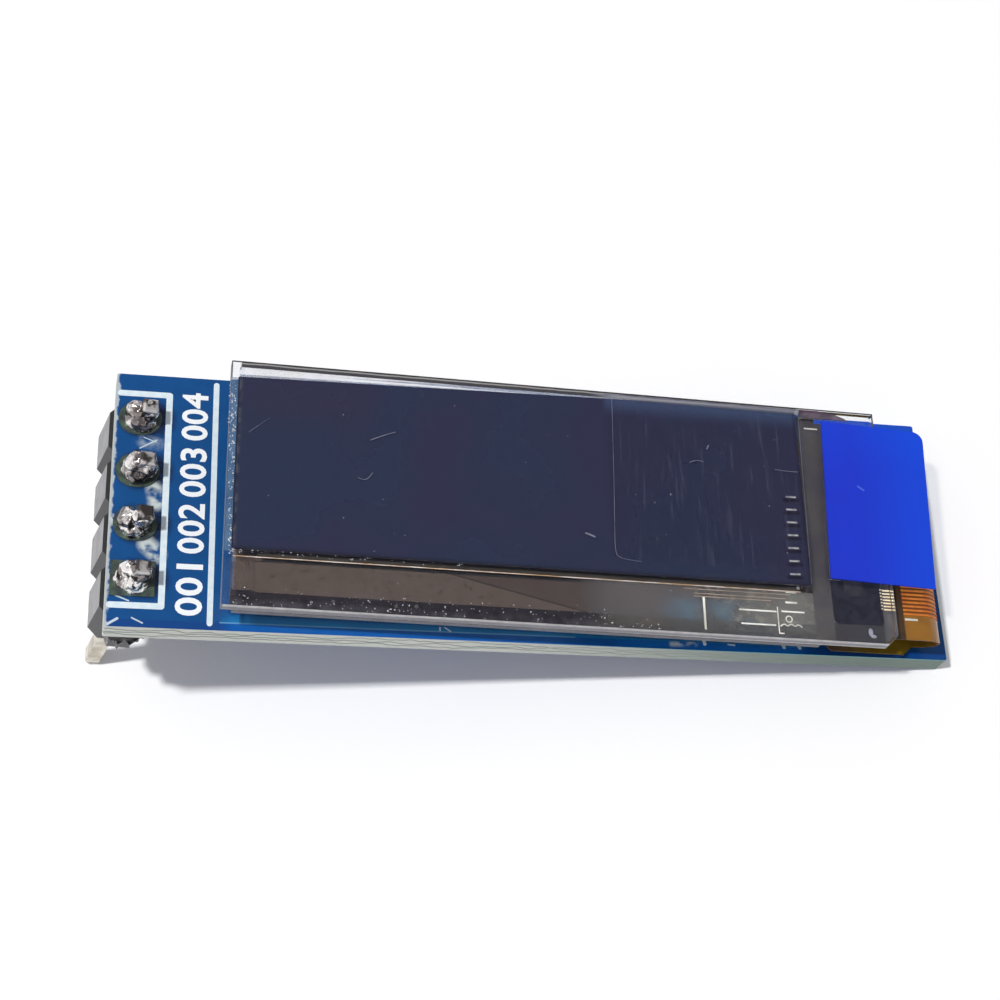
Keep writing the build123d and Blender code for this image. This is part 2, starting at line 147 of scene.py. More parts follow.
class StageSettings(bpy.types.PropertyGroup):
    camera_place: FloatVectorProperty(
        name="Camera place",
        description="Camera in the module's frame",
        default=(-3.827 * MM, -38.752 * MM, 85.155 * MM),
        subtype="TRANSLATION",
    )
    camera_turn: FloatVectorProperty(
        name="Camera turn",
        description="Camera's rotation about X, Y and Z",
        default=tuple(math.radians(angle) for angle in (29.325, -13.105, -2.656)),
        subtype="EULER",
    )
    camera_lens: FloatProperty(name="Lens", description="Focal length", default=75.36, unit="CAMERA")
    camera_shift: FloatVectorProperty(
        name="Shift", description="Framing of the view", default=(-0.03, -0.15), size=2
    )
    floor_size: length_property("Floor size", "Side of the white table", 1.6)
    key_place: FloatVectorProperty(
        name="Key place", description="Soft light at the left", default=(-0.155, -0.024, 0.30), subtype="TRANSLATION"
    )
    key_size: length_property("Key size", "Side of the soft light", 0.02)
    key_power: FloatProperty(name="Key power", description="Power of the soft light", default=0.84)
    sky_strength: FloatProperty(name="Surround", description="Strength of the white surround", default=0.42)


# Node helpers

def put(tree, kind, inputs=None, **settings):
    """Adds a node, sets it up, and links or sets its inputs."""
    made = tree.nodes.new(kind)
    for name, setting in settings.items():
        setattr(made, name, setting)
    for name, source in (inputs or {}).items():
        socket = made.inputs[name]
        if isinstance(source, bpy.types.NodeSocket):
            tree.links.new(source, socket)
        elif socket.type == "RGBA" and len(source) == 3:
            socket.default_value = (*source, 1.0)
        else:
            socket.default_value = source
    return made


def calc(tree, operation, first, second=0.0, clamp=False):
    return put(tree, "ShaderNodeMath", {0: first, 1: second}, operation=operation, use_clamp=clamp).outputs[0]


def blend(tree, factor, first, second):
    """Mixes two colours."""
    made = put(tree, "ShaderNodeMix", {0: factor, 6: first, 7: second}, data_type="RGBA")
    return made.outputs[2]


def fade(tree, source, start, end, low=0.0, high=1.0):
    """Runs smoothly from low to high while the source goes from start to end."""
    inputs = {"Value": source, "From Min": start, "From Max": end, "To Min": low, "To Max": high}
    return put(tree, "ShaderNodeMapRange", inputs, interpolation_type="SMOOTHSTEP").outputs[0]


def millimetres(tree, corner=(0, 0, 0), turn=0.0):
    """Object coordinates in millimetres from a corner of the module."""
    inputs = {
        "Vector": put(tree, "ShaderNodeTexCoord").outputs["Object"],
        "Location": tuple(corner),
        "Rotation": (0, 0, turn),
        "Scale": (MM, MM, MM),
    }
    return put(tree, "ShaderNodeMapping", inputs, vector_type="TEXTURE").outputs[0]


def board_coordinates(tree):
    return millimetres(tree, BOARD_CORNER)


def panel_coordinates(tree):
    return millimetres(tree, panel_matrix().translation, PANEL_TURN)


def group_of(name, sockets_in, sockets_out):
    """An empty shader node group with its sockets; returns the group with its input and output nodes."""
    group = bpy.data.node_groups.new(name, "ShaderNodeTree")
    for label, kind, default in sockets_in:
        socket = group.interface.new_socket(name=label, in_out="INPUT", socket_type=kind)
        if default is not None:
            socket.default_value = default
    for label, kind in sockets_out:
        group.interface.new_socket(name=label, in_out="OUTPUT", socket_type=kind)
    return group, group.nodes.new("NodeGroupInput").outputs, group.nodes.new("NodeGroupOutput").inputs


def box_mask_group():
    """1 inside a rectangle in X and Y, with soft sides."""
    sockets = [("Vector", "NodeSocketVector", None)]
    sockets += [(side, "NodeSocketFloat", 0.0) for side in ("Left", "Right", "Front", "Back")]
    sockets += [("Softness", "NodeSocketFloat", 0.03)]
    group, given, result = group_of("box_mask", sockets, [("Mask", "NodeSocketFloat")])
    axes = put(group, "ShaderNodeSeparateXYZ", {0: given["Vector"]}).outputs
    mask = None
    for axis, low, high in (("X", "Left", "Right"), ("Y", "Front", "Back")):
        rise = calc(group, "DIVIDE", calc(group, "SUBTRACT", axes[axis], given[low]), given["Softness"])
        fall = calc(group, "DIVIDE", calc(group, "SUBTRACT", given[high], axes[axis]), given["Softness"])
        nearer = calc(group, "MINIMUM", rise, fall)
        inside = calc(group, "ADD", nearer, 0.5, clamp=True)
        mask = inside if mask is None else calc(group, "MULTIPLY", mask, inside)
    group.links.new(mask, result["Mask"])
    return group


def line_mask_group():
    """1 along a straight line between two points, in X and Y."""
    sockets = [("Vector", "NodeSocketVector", None), ("Start", "NodeSocketVector", None)]
    sockets += [("End", "NodeSocketVector", None), ("Width", "NodeSocketFloat", 0.1)]
    sockets += [("Softness", "NodeSocketFloat", 0.03)]
    group, given, result = group_of("line_mask", sockets, [("Mask", "NodeSocketFloat")])
    flat = put(group, "ShaderNodeVectorMath", {0: given["Vector"], 1: (1, 1, 0)}, operation="MULTIPLY").outputs[0]
    along = put(group, "ShaderNodeVectorMath", {0: given["End"], 1: given["Start"]}, operation="SUBTRACT")
    offset = put(group, "ShaderNodeVectorMath", {0: flat, 1: given["Start"]}, operation="SUBTRACT")
    run = put(group, "ShaderNodeVectorMath", {0: along.outputs[0], 1: along.outputs[0]}, operation="DOT_PRODUCT")
    part = put(group, "ShaderNodeVectorMath", {0: offset.outputs[0], 1: along.outputs[0]}, operation="DOT_PRODUCT")
    share = calc(group, "DIVIDE", part.outputs["Value"], run.outputs["Value"], clamp=True)
    nearest = put(group, "ShaderNodeVectorMath", {0: along.outputs[0], "Scale": share}, operation="SCALE")
    gap = put(group, "ShaderNodeVectorMath", {0: offset.outputs[0], 1: nearest.outputs[0]}, operation="DISTANCE")
    half = calc(group, "MULTIPLY", given["Width"], 0.5)
    inner = calc(group, "SUBTRACT", half, gap.outputs["Value"])
    edge = calc(group, "DIVIDE", inner, given["Softness"])
    group.links.new(calc(group, "ADD", edge, 0.5, clamp=True), result["Mask"])
    return group


def speck_group():
    """Small grains of uneven size, spread at random."""
    sockets = [("Vector", "NodeSocketVector", None), ("Scale", "NodeSocketFloat", 4.0)]
    sockets += [("Size", "NodeSocketFloat", 0.2), ("Share", "NodeSocketFloat", 0.3)]
    group, given, result = group_of("specks", sockets, [("Mask", "NodeSocketFloat")])
    cells = put(group, "ShaderNodeTexVoronoi", {"Vector": given["Vector"], "Scale": given["Scale"]})
    pick = put(group, "ShaderNodeSeparateColor", {0: cells.outputs["Color"]}).outputs
    kept = calc(group, "LESS_THAN", pick[0], given["Share"])
    size = calc(group, "MULTIPLY", pick[1], given["Size"])
    grain = calc(group, "LESS_THAN", cells.outputs["Distance"], size)
    group.links.new(calc(group, "MULTIPLY", grain, kept), result["Mask"])
    return group


def mottle_group():
    """Soft blotches between 0 and 1."""
    sockets = [("Vector", "NodeSocketVector", None), ("Scale", "NodeSocketFloat", 1.0)]
    sockets += [("Low", "NodeSocketFloat", 0.35), ("High", "NodeSocketFloat", 0.65)]
    group, given, result = group_of("mottle", sockets, [("Value", "NodeSocketFloat")])
    noise = put(
        group, "ShaderNodeTexNoise", {"Vector": given["Vector"], "Scale": given["Scale"], "Detail": 4.0}
    ).outputs[0]
    group.links.new(fade(group, noise, given["Low"], given["High"]), result["Value"])
    return group


def scratch_group():
    """Fine straight scratches: thin bands of a stretched noise."""
    sockets = [("Vector", "NodeSocketVector", None), ("Turn", "NodeSocketVector", None)]
    sockets += [("Density", "NodeSocketFloat", 1.0), ("Width", "NodeSocketFloat", 0.012)]
    group, given, result = group_of("scratches", sockets, [("Mask", "NodeSocketFloat")])
    turned = put(
        group,
        "ShaderNodeMapping",
        {"Vector": given["Vector"], "Rotation": given["Turn"], "Scale": (0.25, 2.6, 1.0)},
    ).outputs[0]
    noise = put(
        group, "ShaderNodeTexNoise", {"Vector": turned, "Scale": given["Density"], "Detail": 0.0}
    ).outputs[0]
    away = calc(group, "ABSOLUTE", calc(group, "SUBTRACT", noise, 0.5))
    group.links.new(calc(group, "LESS_THAN", away, given["Width"]), result["Mask"])
    return group


GROUPS = {}


def build_groups():
    GROUPS["box"] = box_mask_group()
    GROUPS["line"] = line_mask_group()
    GROUPS["specks"] = speck_group()
    GROUPS["mottle"] = mottle_group()
    GROUPS["scratches"] = scratch_group()


def use(tree, name, inputs):
    """Places a shared group in a material and returns its first output."""
    made = tree.nodes.new("ShaderNodeGroup")
    made.node_tree = GROUPS[name]
    for label, source in inputs.items():
        if isinstance(source, bpy.types.NodeSocket):
            tree.links.new(source, made.inputs[label])
        else:
            made.inputs[label].default_value = source
    return made.outputs[0]


def box_mask(tree, place, left, right, front, back, softness=0.03):
    sides = {"Vector": place, "Left": left, "Right": right, "Front": front, "Back": back}
    return use(tree, "box", {**sides, "Softness": softness})


def line_mask(tree, place, start, end, width, softness=0.03):
    ends = {"Vector": place, "Start": (*start, 0), "End": (*end, 0)}
    return use(tree, "line", {**ends, "Width": width, "Softness": softness})


def either(tree, masks):
    """The largest of several masks."""
    joined = masks[0]
    for mask in masks[1:]:
        joined = calc(tree, "MAXIMUM", joined, mask)
    return joined


def start_material(name, roughness=0.5, **fixed):
    """A material with one Principled BSDF whose plain values are set on its sockets."""
    material = bpy.data.materials.new(name)
    material.use_nodes = True
    tree = material.node_tree
    shader = tree.nodes["Principled BSDF"]
    shader.inputs["Roughness"].default_value = roughness
    for label, setting in fixed.items():
        shader.inputs[label.replace("_", " ")].default_value = setting
    return material, tree, shader


def link(tree, source, shader, socket):
    tree.links.new(source, shader.inputs[socket])


def bump(tree, shader, height, strength, distance=0.02 * MM):
    made = put(tree, "ShaderNodeBump", {"Height": height, "Strength": strength, "Distance": distance})
    link(tree, made.outputs[0], shader, "Normal")


def side_share(tree):
    """1 on faces that stand upright, 0 on flat ones."""
    normal = put(tree, "ShaderNodeNewGeometry").outputs["Normal"]
    up = put(tree, "ShaderNodeSeparateXYZ", {0: normal}).outputs["Z"]
    return calc(tree, "LESS_THAN", calc(tree, "ABSOLUTE", up), 0.5)


# Materials

def board_material(colours):
    material, tree, shader = start_material("blue_board", 0.3, Specular_IOR_Level=0.3)
    place = board_coordinates(tree)
    tone = use(tree, "mottle", {"Vector": place, "Scale": 0.9})
    darker = tuple(0.8 * channel for channel in colours.board)
    underside = blend(tree, calc(tree, "MULTIPLY", tone, 0.5), tuple(colours.board), darker)
    face = underside
    margin = box_mask(tree, place, -1, 60, -1, 0.36, 0.04)
    face = blend(tree, margin, face, tuple(colours.board_dark))
    # Painted light: the face and margin are brightened along the panel's front edge, where the panel shades them
    painted_light_beside_panel = box_mask(tree, place, 5.1, 31.0, -1, 0.6, 0.6)
    lit = blend(tree, margin, colour(26, 132, 198), colour(14, 94, 176))
    face = blend(tree, calc(tree, "MULTIPLY", painted_light_beside_panel, 0.85), face, lit)
    copper_edge = line_mask(tree, place, (4.85, 0.36), (20.4, 0.37), 0.05, 0.04)
    face = blend(tree, calc(tree, "MULTIPLY", copper_edge, 0.7), face, colour(120, 178, 214))
    face = blend(tree, joint_stains(tree, place), face, tuple(colours.flux))
    for mask, tint in board_marks(tree, place):
        face = blend(tree, mask, face, tint)
    axes = put(tree, "ShaderNodeSeparateXYZ", {0: place}).outputs
    rough_rim = use(tree, "mottle", {"Vector": place, "Scale": 2.4, "Low": 0.3, "High": 0.6})
    rim = fade(tree, calc(tree, "ADD", axes["X"], calc(tree, "MULTIPLY", rough_rim, 0.14)), 0.26, 0.16)
    face = blend(tree, calc(tree, "MULTIPLY", rim, 0.8), face, colour(196, 204, 206))
    bright_corner = box_mask(tree, place, 32.7, 40, 11.3, 13, 0.3)
    face = blend(tree, calc(tree, "MULTIPLY", bright_corner, 0.75), face, colour(24, 78, 206))
    face = blend(tree, fade(tree, axes["Z"], -0.5, -0.7), face, underside)
    fibre = fibre_lines(tree, axes)
    greener = fade(tree, axes["X"], 14.0, 34.0, 0.0, 1.0)
    laminate = blend(tree, greener, tuple(colours.board_edge), colour(122, 138, 130))
    rim_light = calc(tree, "MULTIPLY", greener, fade(tree, axes["Z"], -0.16, -0.05))
    laminate = blend(tree, calc(tree, "MULTIPLY", rim_light, 0.8), laminate, colour(104, 166, 166))
    edge = blend(tree, fibre, laminate, colour(84, 96, 84))
    side = side_share(tree)
    link(tree, blend(tree, side, face, edge), shader, "Base Color")
    link(tree, calc(tree, "ADD", calc(tree, "MULTIPLY", side, 0.4), 0.3), shader, "Roughness")
    grain = put(tree, "ShaderNodeTexNoise", {"Vector": place, "Scale": 7.0, "Detail": 3.0}).outputs[0]
    bump(tree, shader, calc(tree, "ADD", calc(tree, "MULTIPLY", grain, 0.3), calc(tree, "MULTIPLY", fibre, side)), 0.5)
    return material


def fibre_lines(tree, axes):
    """Long wavy dark glass-fibre lines along the cut edges, fading to the right."""
    run = calc(tree, "ADD", axes["X"], axes["Y"])
    lines = []
    for level, seed in ((-0.32, 1.7), (-0.6, 5.1), (-0.85, 9.4)):
        at = put(tree, "ShaderNodeCombineXYZ", {0: run, 1: seed}).outputs[0]
        wave = put(tree, "ShaderNodeTexNoise", {"Vector": at, "Scale": 0.8, "Detail": 2.0}).outputs[0]
        height = calc(tree, "ADD", calc(tree, "MULTIPLY", calc(tree, "SUBTRACT", wave, 0.5), 0.7), level)
        away = calc(tree, "ABSOLUTE", calc(tree, "SUBTRACT", axes["Z"], height))
        lines.append(fade(tree, away, 0.06, 0.02))
    return calc(tree, "MULTIPLY", either(tree, lines), fade(tree, axes["X"], 34.0, 14.0, 0.1, 0.8))


def joint_stains(tree, place):
    """Dark flux round each joint, ragged at its rim and heavier at the right."""
    stains = []
    for index in range(PIN_COUNT):
        y = BOARD_WIDTH / 2 + PIN_PITCH * (index - (PIN_COUNT - 1) / 2)
        stains.append(line_mask(tree, place, (1.1, y), (1.75, y), 1.75, 0.35))
    ragged = use(tree, "mottle", {"Vector": place, "Scale": 2.3, "Low": 0.25, "High": 0.5})
    return calc(tree, "MULTIPLY", calc(tree, "MULTIPLY", either(tree, stains), ragged), 0.9)


def board_marks(tree, place):
    """Whitish flux residue between the joints, and short bright marks: scratches, and painted glints near the board's
    left edge.
    """
    cloud = use(tree, "mottle", {"Vector": place, "Scale": 1.9, "Low": 0.36, "High": 0.6})
    residue = either(tree, [
        line_mask(tree, place, (1.85, 6.45), (1.95, 5.75), 0.62, 0.3),
        line_mask(tree, place, (1.62, 3.8), (2.1, 3.35), 0.7, 0.3),
        line_mask(tree, place, (24.85, 0.24), (25.95, 0.3), 0.16, 0.2),
        calc(tree, "MULTIPLY", line_mask(tree, place, (1.3, 8.7), (1.9, 8.6), 0.5, 0.3), 0.45),
    ])
    # Short bright marks: scratches, and painted glints near the board's left edge
    scratches = []
    for start, end, width in (
        ((1.15, 8.36), (1.87, 8.8), 0.05),
        ((14.16, 0.63), (14.42, 0.6), 0.05),
        ((14.36, 0.6), (14.36, 0.42), 0.06),
        ((14.5, 0.62), (14.82, 0.4), 0.05),
        ((27.5, 0.33), (27.8, 0.3), 0.07),
        ((1.3, 8.9), (1.83, 8.7), 0.04),
        ((0.06, 4.92), (0.26, 4.6), 0.12),
        ((0.16, 0.1), (0.55, 0.36), 0.11),
        ((1.15, 0.42), (1.6, 0.2), 0.06),
        ((0.37, 1.42), (0.98, 1.18), 0.06),
        ((0.2, 1.95), (0.34, 1.5), 0.05),
    ):
        scratches.append(line_mask(tree, place, start, end, width, 0.03))
    return (
        (calc(tree, "MULTIPLY", residue, cloud), colour(196, 206, 204)),
        (calc(tree, "MULTIPLY", either(tree, scratches), 0.85), colour(214, 230, 234)),
    )


def ink_material(colours):
    material, tree, shader = start_material("white_ink", 0.55)
    place = board_coordinates(tree)
    worn = use(tree, "mottle", {"Vector": place, "Scale": 3.0, "Low": 0.3, "High": 0.75})
    tone = blend(tree, calc(tree, "MULTIPLY", worn, 0.4), tuple(colours.ink), colour(176, 208, 226))
    link(tree, tone, shader, "Base Color")
    grain = put(tree, "ShaderNodeTexNoise", {"Vector": place, "Scale": 14.0}).outputs[0]
    bump(tree, shader, grain, 0.3, 0.01 * MM)
    return material


def metal_material(name, bright, dark, scale, roughness, lumps, metallic=1.0):
    """Plated metal with uneven tone."""
    material, tree, shader = start_material(name, roughness, Metallic=metallic)
    place = board_coordinates(tree)
    tone = use(tree, "mottle", {"Vector": place, "Scale": scale, "Low": 0.38, "High": 0.62})
    link(tree, blend(tree, tone, bright, dark), shader, "Base Color")
    link(tree, fade(tree, tone, 0.0, 1.0, roughness, roughness + 0.2), shader, "Roughness")
    grain = put(tree, "ShaderNodeTexNoise", {"Vector": place, "Scale": scale * 2.5, "Detail": 4.0}).outputs[0]
    bump(tree, shader, grain, lumps, 0.03 * MM)
    return material


def joint_material():
    """Bright solder broken up by painted dark reflections in its creases."""
    material, tree, shader = start_material("lumpy_solder", 0.2, Metallic=1.0)
    place = board_coordinates(tree)
    warp = put(tree, "ShaderNodeTexNoise", {"Vector": place, "Scale": 1.4, "Detail": 2.0}).outputs["Color"]
    bent = put(tree, "ShaderNodeVectorMath", {0: warp, 1: (0.9, 0.9, 0.9)}, operation="MULTIPLY").outputs[0]
    bent = put(tree, "ShaderNodeVectorMath", {0: place, 1: bent}, operation="ADD").outputs[0]
    broad = use(tree, "mottle", {"Vector": bent, "Scale": 1.0, "Low": 0.44, "High": 0.56})
    fine = use(tree, "mottle", {"Vector": bent, "Scale": 2.2, "Low": 0.54, "High": 0.61})
    # Painted reflections: bright to grey in broad patches, near black in the fine creases
    tone = blend(tree, broad, colour(242, 238, 232), colour(138, 130, 126))
    tone = blend(tree, fine, tone, colour(52, 46, 46))
    link(tree, tone, shader, "Base Color")
    link(tree, fade(tree, fine, 0.0, 1.0, 0.18, 0.45), shader, "Roughness")
    bump(tree, shader, calc(tree, "ADD", broad, calc(tree, "MULTIPLY", fine, 0.5)), 0.6, 0.05 * MM)
    return material


def pin_material():
    """Cream-silver plating, tinned and stained where the pin stands in its joint."""
    material, tree, shader = start_material("pin_plating", 0.35, Metallic=0.7)
    place = board_coordinates(tree)
    height = put(tree, "ShaderNodeSeparateXYZ", {0: place}).outputs["Z"]
    worn = use(tree, "mottle", {"Vector": place, "Scale": 1.2, "Low": 0.35, "High": 0.65})
    stain = use(tree, "mottle", {"Vector": place, "Scale": 1.9, "Low": 0.42, "High": 0.56})
    plated = blend(tree, worn, colour(222, 216, 202), colour(176, 168, 150))
    tinned = blend(tree, stain, colour(206, 202, 198), colour(72, 66, 64))
    link(tree, blend(tree, fade(tree, height, 0.0, 0.2), plated, tinned), shader, "Base Color")
    grain = put(tree, "ShaderNodeTexNoise", {"Vector": place, "Scale": 3.5, "Detail": 3.0}).outputs[0]
    bump(tree, shader, grain, 0.5, 0.05 * MM)
    return material


def pad_material():
    """Tinned pads gone dull and olive under the flux."""
    material, tree, shader = start_material("dull_pad", 0.4)
    place = board_coordinates(tree)
    tone = use(tree, "mottle", {"Vector": place, "Scale": 2.6, "Low": 0.35, "High": 0.65})
    link(tree, blend(tree, tone, colour(84, 100, 84), colour(44, 54, 60)), shader, "Base Color")
    link(tree, fade(tree, tone, 0.0, 1.0, 0.5, 0.1), shader, "Metallic")
    grain = put(tree, "ShaderNodeTexNoise", {"Vector": place, "Scale": 8.0}).outputs[0]
    bump(tree, shader, grain, 0.4)
    return material


def plastic_material(name, base, worn, roughness, scale=3.0):
    """Moulded plastic with faint flow marks."""
    material, tree, shader = start_material(name, roughness)
    place = board_coordinates(tree)
    tone = use(tree, "mottle", {"Vector": place, "Scale": scale})
    link(tree, blend(tree, calc(tree, "MULTIPLY", tone, 0.6), base, worn), shader, "Base Color")
    grain = put(tree, "ShaderNodeTexNoise", {"Vector": place, "Scale": scale * 6, "Detail": 3.0}).outputs[0]
    bump(tree, shader, grain, 0.3, 0.01 * MM)
    return material


def housing_material():
    """Black header plastic, with painted grey glare on the faces of its bays and painted shade at the notches between
    them.
    """
    material, tree, shader = start_material("black_housing", 0.38)
    place = board_coordinates(tree)
    normal = put(tree, "ShaderNodeNewGeometry").outputs["Normal"]
    left = put(tree, "ShaderNodeSeparateXYZ", {0: normal}).outputs["X"]
    flat = fade(tree, left, -0.86, -0.93)
    # Painted glare: grey in place of reflected light on the faces toward -X
    uneven_glare = use(tree, "mottle", {"Vector": place, "Scale": 1.3, "Low": 0.2, "High": 0.8})
    painted_glare = blend(tree, uneven_glare, colour(142, 142, 143), colour(104, 104, 106))
    axes = put(tree, "ShaderNodeSeparateXYZ", {0: place}).outputs
    # Painted shade at the notches between the bays
    bay = calc(tree, "FRACT", calc(tree, "DIVIDE", calc(tree, "SUBTRACT", axes["Y"], BOARD_WIDTH / 2), PIN_PITCH))
    inward = calc(tree, "MINIMUM", bay, calc(tree, "SUBTRACT", 1.0, bay))
    ragged = put(tree, "ShaderNodeTexNoise", {"Vector": place, "Scale": 2.5, "Detail": 3.0}).outputs[0]
    painted_notch_shade = fade(tree, calc(tree, "ADD", inward, calc(tree, "MULTIPLY", calc(tree, "SUBTRACT", ragged, 0.5), 0.12)), 0.2, 0.13)
    painted_glare = blend(tree, painted_notch_shade, painted_glare, colour(58, 58, 60))
    link(tree, blend(tree, flat, colour(40, 40, 42), painted_glare), shader, "Base Color")
    grain = put(tree, "ShaderNodeTexNoise", {"Vector": place, "Scale": 9.0, "Detail": 4.0}).outputs[0]
    bump(tree, shader, grain, 0.4)
    return material


def tape_material(colours):
    """Taupe foam tape, with painted shade darkening it past a diagonal line."""
    material, tree, shader = start_material("foam_tape", 0.8, Specular_IOR_Level=0.2)
    place = panel_coordinates(tree)
    axes = put(tree, "ShaderNodeSeparateXYZ", {0: place}).outputs
    slope = (0.83 - 2.58) / (16.54 - 9.01)
    line = 2.58 - 9.01 * slope
    rise = calc(tree, "SUBTRACT", axes["Y"], calc(tree, "MULTIPLY", axes["X"], slope))
    # Painted shade past the diagonal line
    past = fade(tree, rise, line - 0.02, line + 0.02)
    base = blend(tree, past, tuple(colours.tape), tuple(colours.painted_shade_tape))
    on_line = fade(tree, calc(tree, "ABSOLUTE", calc(tree, "SUBTRACT", rise, line + 0.05)), 0.07, 0.02)
    base = blend(tree, calc(tree, "MULTIPLY", on_line, 0.5), base, colour(48, 40, 36))
    pores = put(tree, "ShaderNodeTexNoise", {"Vector": place, "Scale": 3.0, "Detail": 5.0}).outputs[0]
    darker = tuple(0.75 * channel for channel in colours.painted_shade_tape)
    link(tree, blend(tree, fade(tree, pores, 0.5, 0.9), base, darker), shader, "Base Color")
    bump(tree, shader, pores, 0.4)
    return material


def let_light_through(tree, shader, share, tint=(1.0, 1.0, 1.0)):
    """Light passes straight through a clear piece to what lies behind it."""
    shadow = put(tree, "ShaderNodeLightPath").outputs["Is Shadow Ray"]
    clear = put(tree, "ShaderNodeBsdfTransparent", {0: tint}).outputs[0]
    part = calc(tree, "MULTIPLY", shadow, share)
    mixed = put(tree, "ShaderNodeMixShader", {0: part, 1: shader.outputs[0], 2: clear}).outputs[0]
    tree.links.new(mixed, tree.nodes["Material Output"].inputs["Surface"])


def glass_material(name, refraction, tint):
    """Clear glass with faint smears in its gloss."""
    material, tree, shader = start_material(name, 0.02, Transmission_Weight=1.0, IOR=refraction)
    place = panel_coordinates(tree)
    smear = use(tree, "mottle", {"Vector": place, "Scale": 0.8})
    link(tree, blend(tree, smear, tint, colour(246, 248, 250)), shader, "Base Color")
    link(tree, calc(tree, "ADD", calc(tree, "MULTIPLY", smear, 0.03), 0.01), shader, "Roughness")
    let_light_through(tree, shader, 0.92)
    return material


def edge_material():
    """Ground glass edges: pale in front, with painted shade in dark arrises at the back and right."""
    material, tree, shader = start_material("ground_edge", 0.5)
    place = panel_coordinates(tree)
    axes = put(tree, "ShaderNodeSeparateXYZ", {0: place}).outputs
    chips = use(tree, "mottle", {"Vector": place, "Scale": 2.6, "Low": 0.3, "High": 0.7})
    top = fade(tree, axes["Z"], 2.2, 2.32)
    foot = calc(tree, "MULTIPLY", fade(tree, axes["Z"], 2.03, 1.98), fade(tree, axes["X"], 15.0, 22.0))
    foot = calc(tree, "MULTIPLY", foot, calc(tree, "GREATER_THAN", axes["Z"], 1.9))
    front = blend(tree, calc(tree, "GREATER_THAN", axes["Z"], 1.9), colour(98, 98, 108), colour(124, 122, 130))
    front = blend(tree, either(tree, [top, foot]), front, colour(208, 205, 204))
    foot_line = calc(tree, "MULTIPLY", fade(tree, axes["Z"], 2.0, 1.96), fade(tree, axes["X"], 26.5, 25.8))
    # Painted shade: dark arrises at the back, and a darker rear on the right end
    arris = either(tree, [fade(tree, axes["Z"], 2.37, 2.41), foot_line])
    middle = blend(tree, fade(tree, axes["X"], 25.8, 26.6), colour(176, 176, 172), colour(246, 246, 244))
    back = blend(tree, arris, middle, colour(50, 46, 44))
    tone = blend(tree, fade(tree, axes["Y"], 4.0, 5.0), front, back)
    right = blend(tree, fade(tree, axes["Y"], 6.0, 9.0), colour(150, 150, 156), colour(60, 56, 56))
    tone = blend(tree, fade(tree, axes["X"], 29.9, 29.96), tone, right)
    tone = blend(tree, fade(tree, axes["X"], 0.1, 0.04), tone, colour(112, 120, 138))
    link(tree, blend(tree, calc(tree, "MULTIPLY", chips, 0.35), tone, colour(84, 82, 88)), shader, "Base Color")
    bump(tree, shader, chips, 0.4)
    return material


def display_material(colours):
    """Dark polarizer with a faint purple and blue cast, and seven short glints at its right end."""
    material, tree, shader = start_material("dark_polarizer", 0.24, Specular_IOR_Level=0.2)
    place = panel_coordinates(tree)
    axes = put(tree, "ShaderNodeSeparateXYZ", {0: place}).outputs
    cast = use(tree, "mottle", {"Vector": place, "Scale": 0.16, "Low": 0.38, "High": 0.62})
    base = blend(tree, cast, tuple(colours.display), colour(39, 48, 72))
    corner = line_mask(tree, place, (1.5, 9.6), (5.0, 9.8), 1.2, 2.4)
    base = blend(tree, calc(tree, "MULTIPLY", corner, 0.5), base, colour(56, 42, 64))
    under_tab = box_mask(tree, place, 16.9, 30, 3.3, 12, 0.3)
    base = blend(tree, calc(tree, "MULTIPLY", under_tab, 0.35), base, colour(36, 36, 62))
    sheen = calc(tree, "MULTIPLY", under_tab, fade(tree, axes["Y"], 10.1, 11.2))
    base = blend(tree, calc(tree, "MULTIPLY", sheen, 0.6), base, colour(68, 88, 122))
    broken = use(tree, "mottle", {"Vector": place, "Scale": 2.7, "Low": 0.3, "High": 0.6})
    glints, shades = [], []
    for index in range(7):
        y = 6.79 - 0.633 * index
        start = 25.26 - 0.022 * index
        glints.append(line_mask(tree, place, (start, y), (start + 0.42, y + 0.01), 0.05, 0.07))
        shades.append(line_mask(tree, place, (start - 0.1, y - 0.17), (start + 0.5, y - 0.15), 0.14, 0.14))
    base = blend(tree, calc(tree, "MULTIPLY", either(tree, shades), 0.85), base, colour(12, 8, 16))
    glint = calc(tree, "MULTIPLY", either(tree, glints), fade(tree, broken, 0.0, 1.0, 0.45, 1.0))
    base = blend(tree, glint, base, colour(226, 226, 222))
    rim = calc(tree, "SUBTRACT", 1.0, box_mask(tree, place, 0.42, 25.9, 2.62, 20.0, 0.12))
    base = blend(tree, calc(tree, "MULTIPLY", rim, 0.4), base, colour(26, 22, 34))
    link(tree, base, shader, "Base Color")
    link(tree, calc(tree, "ADD", calc(tree, "MULTIPLY", cast, 0.1), 0.2), shader, "Roughness")
    return material


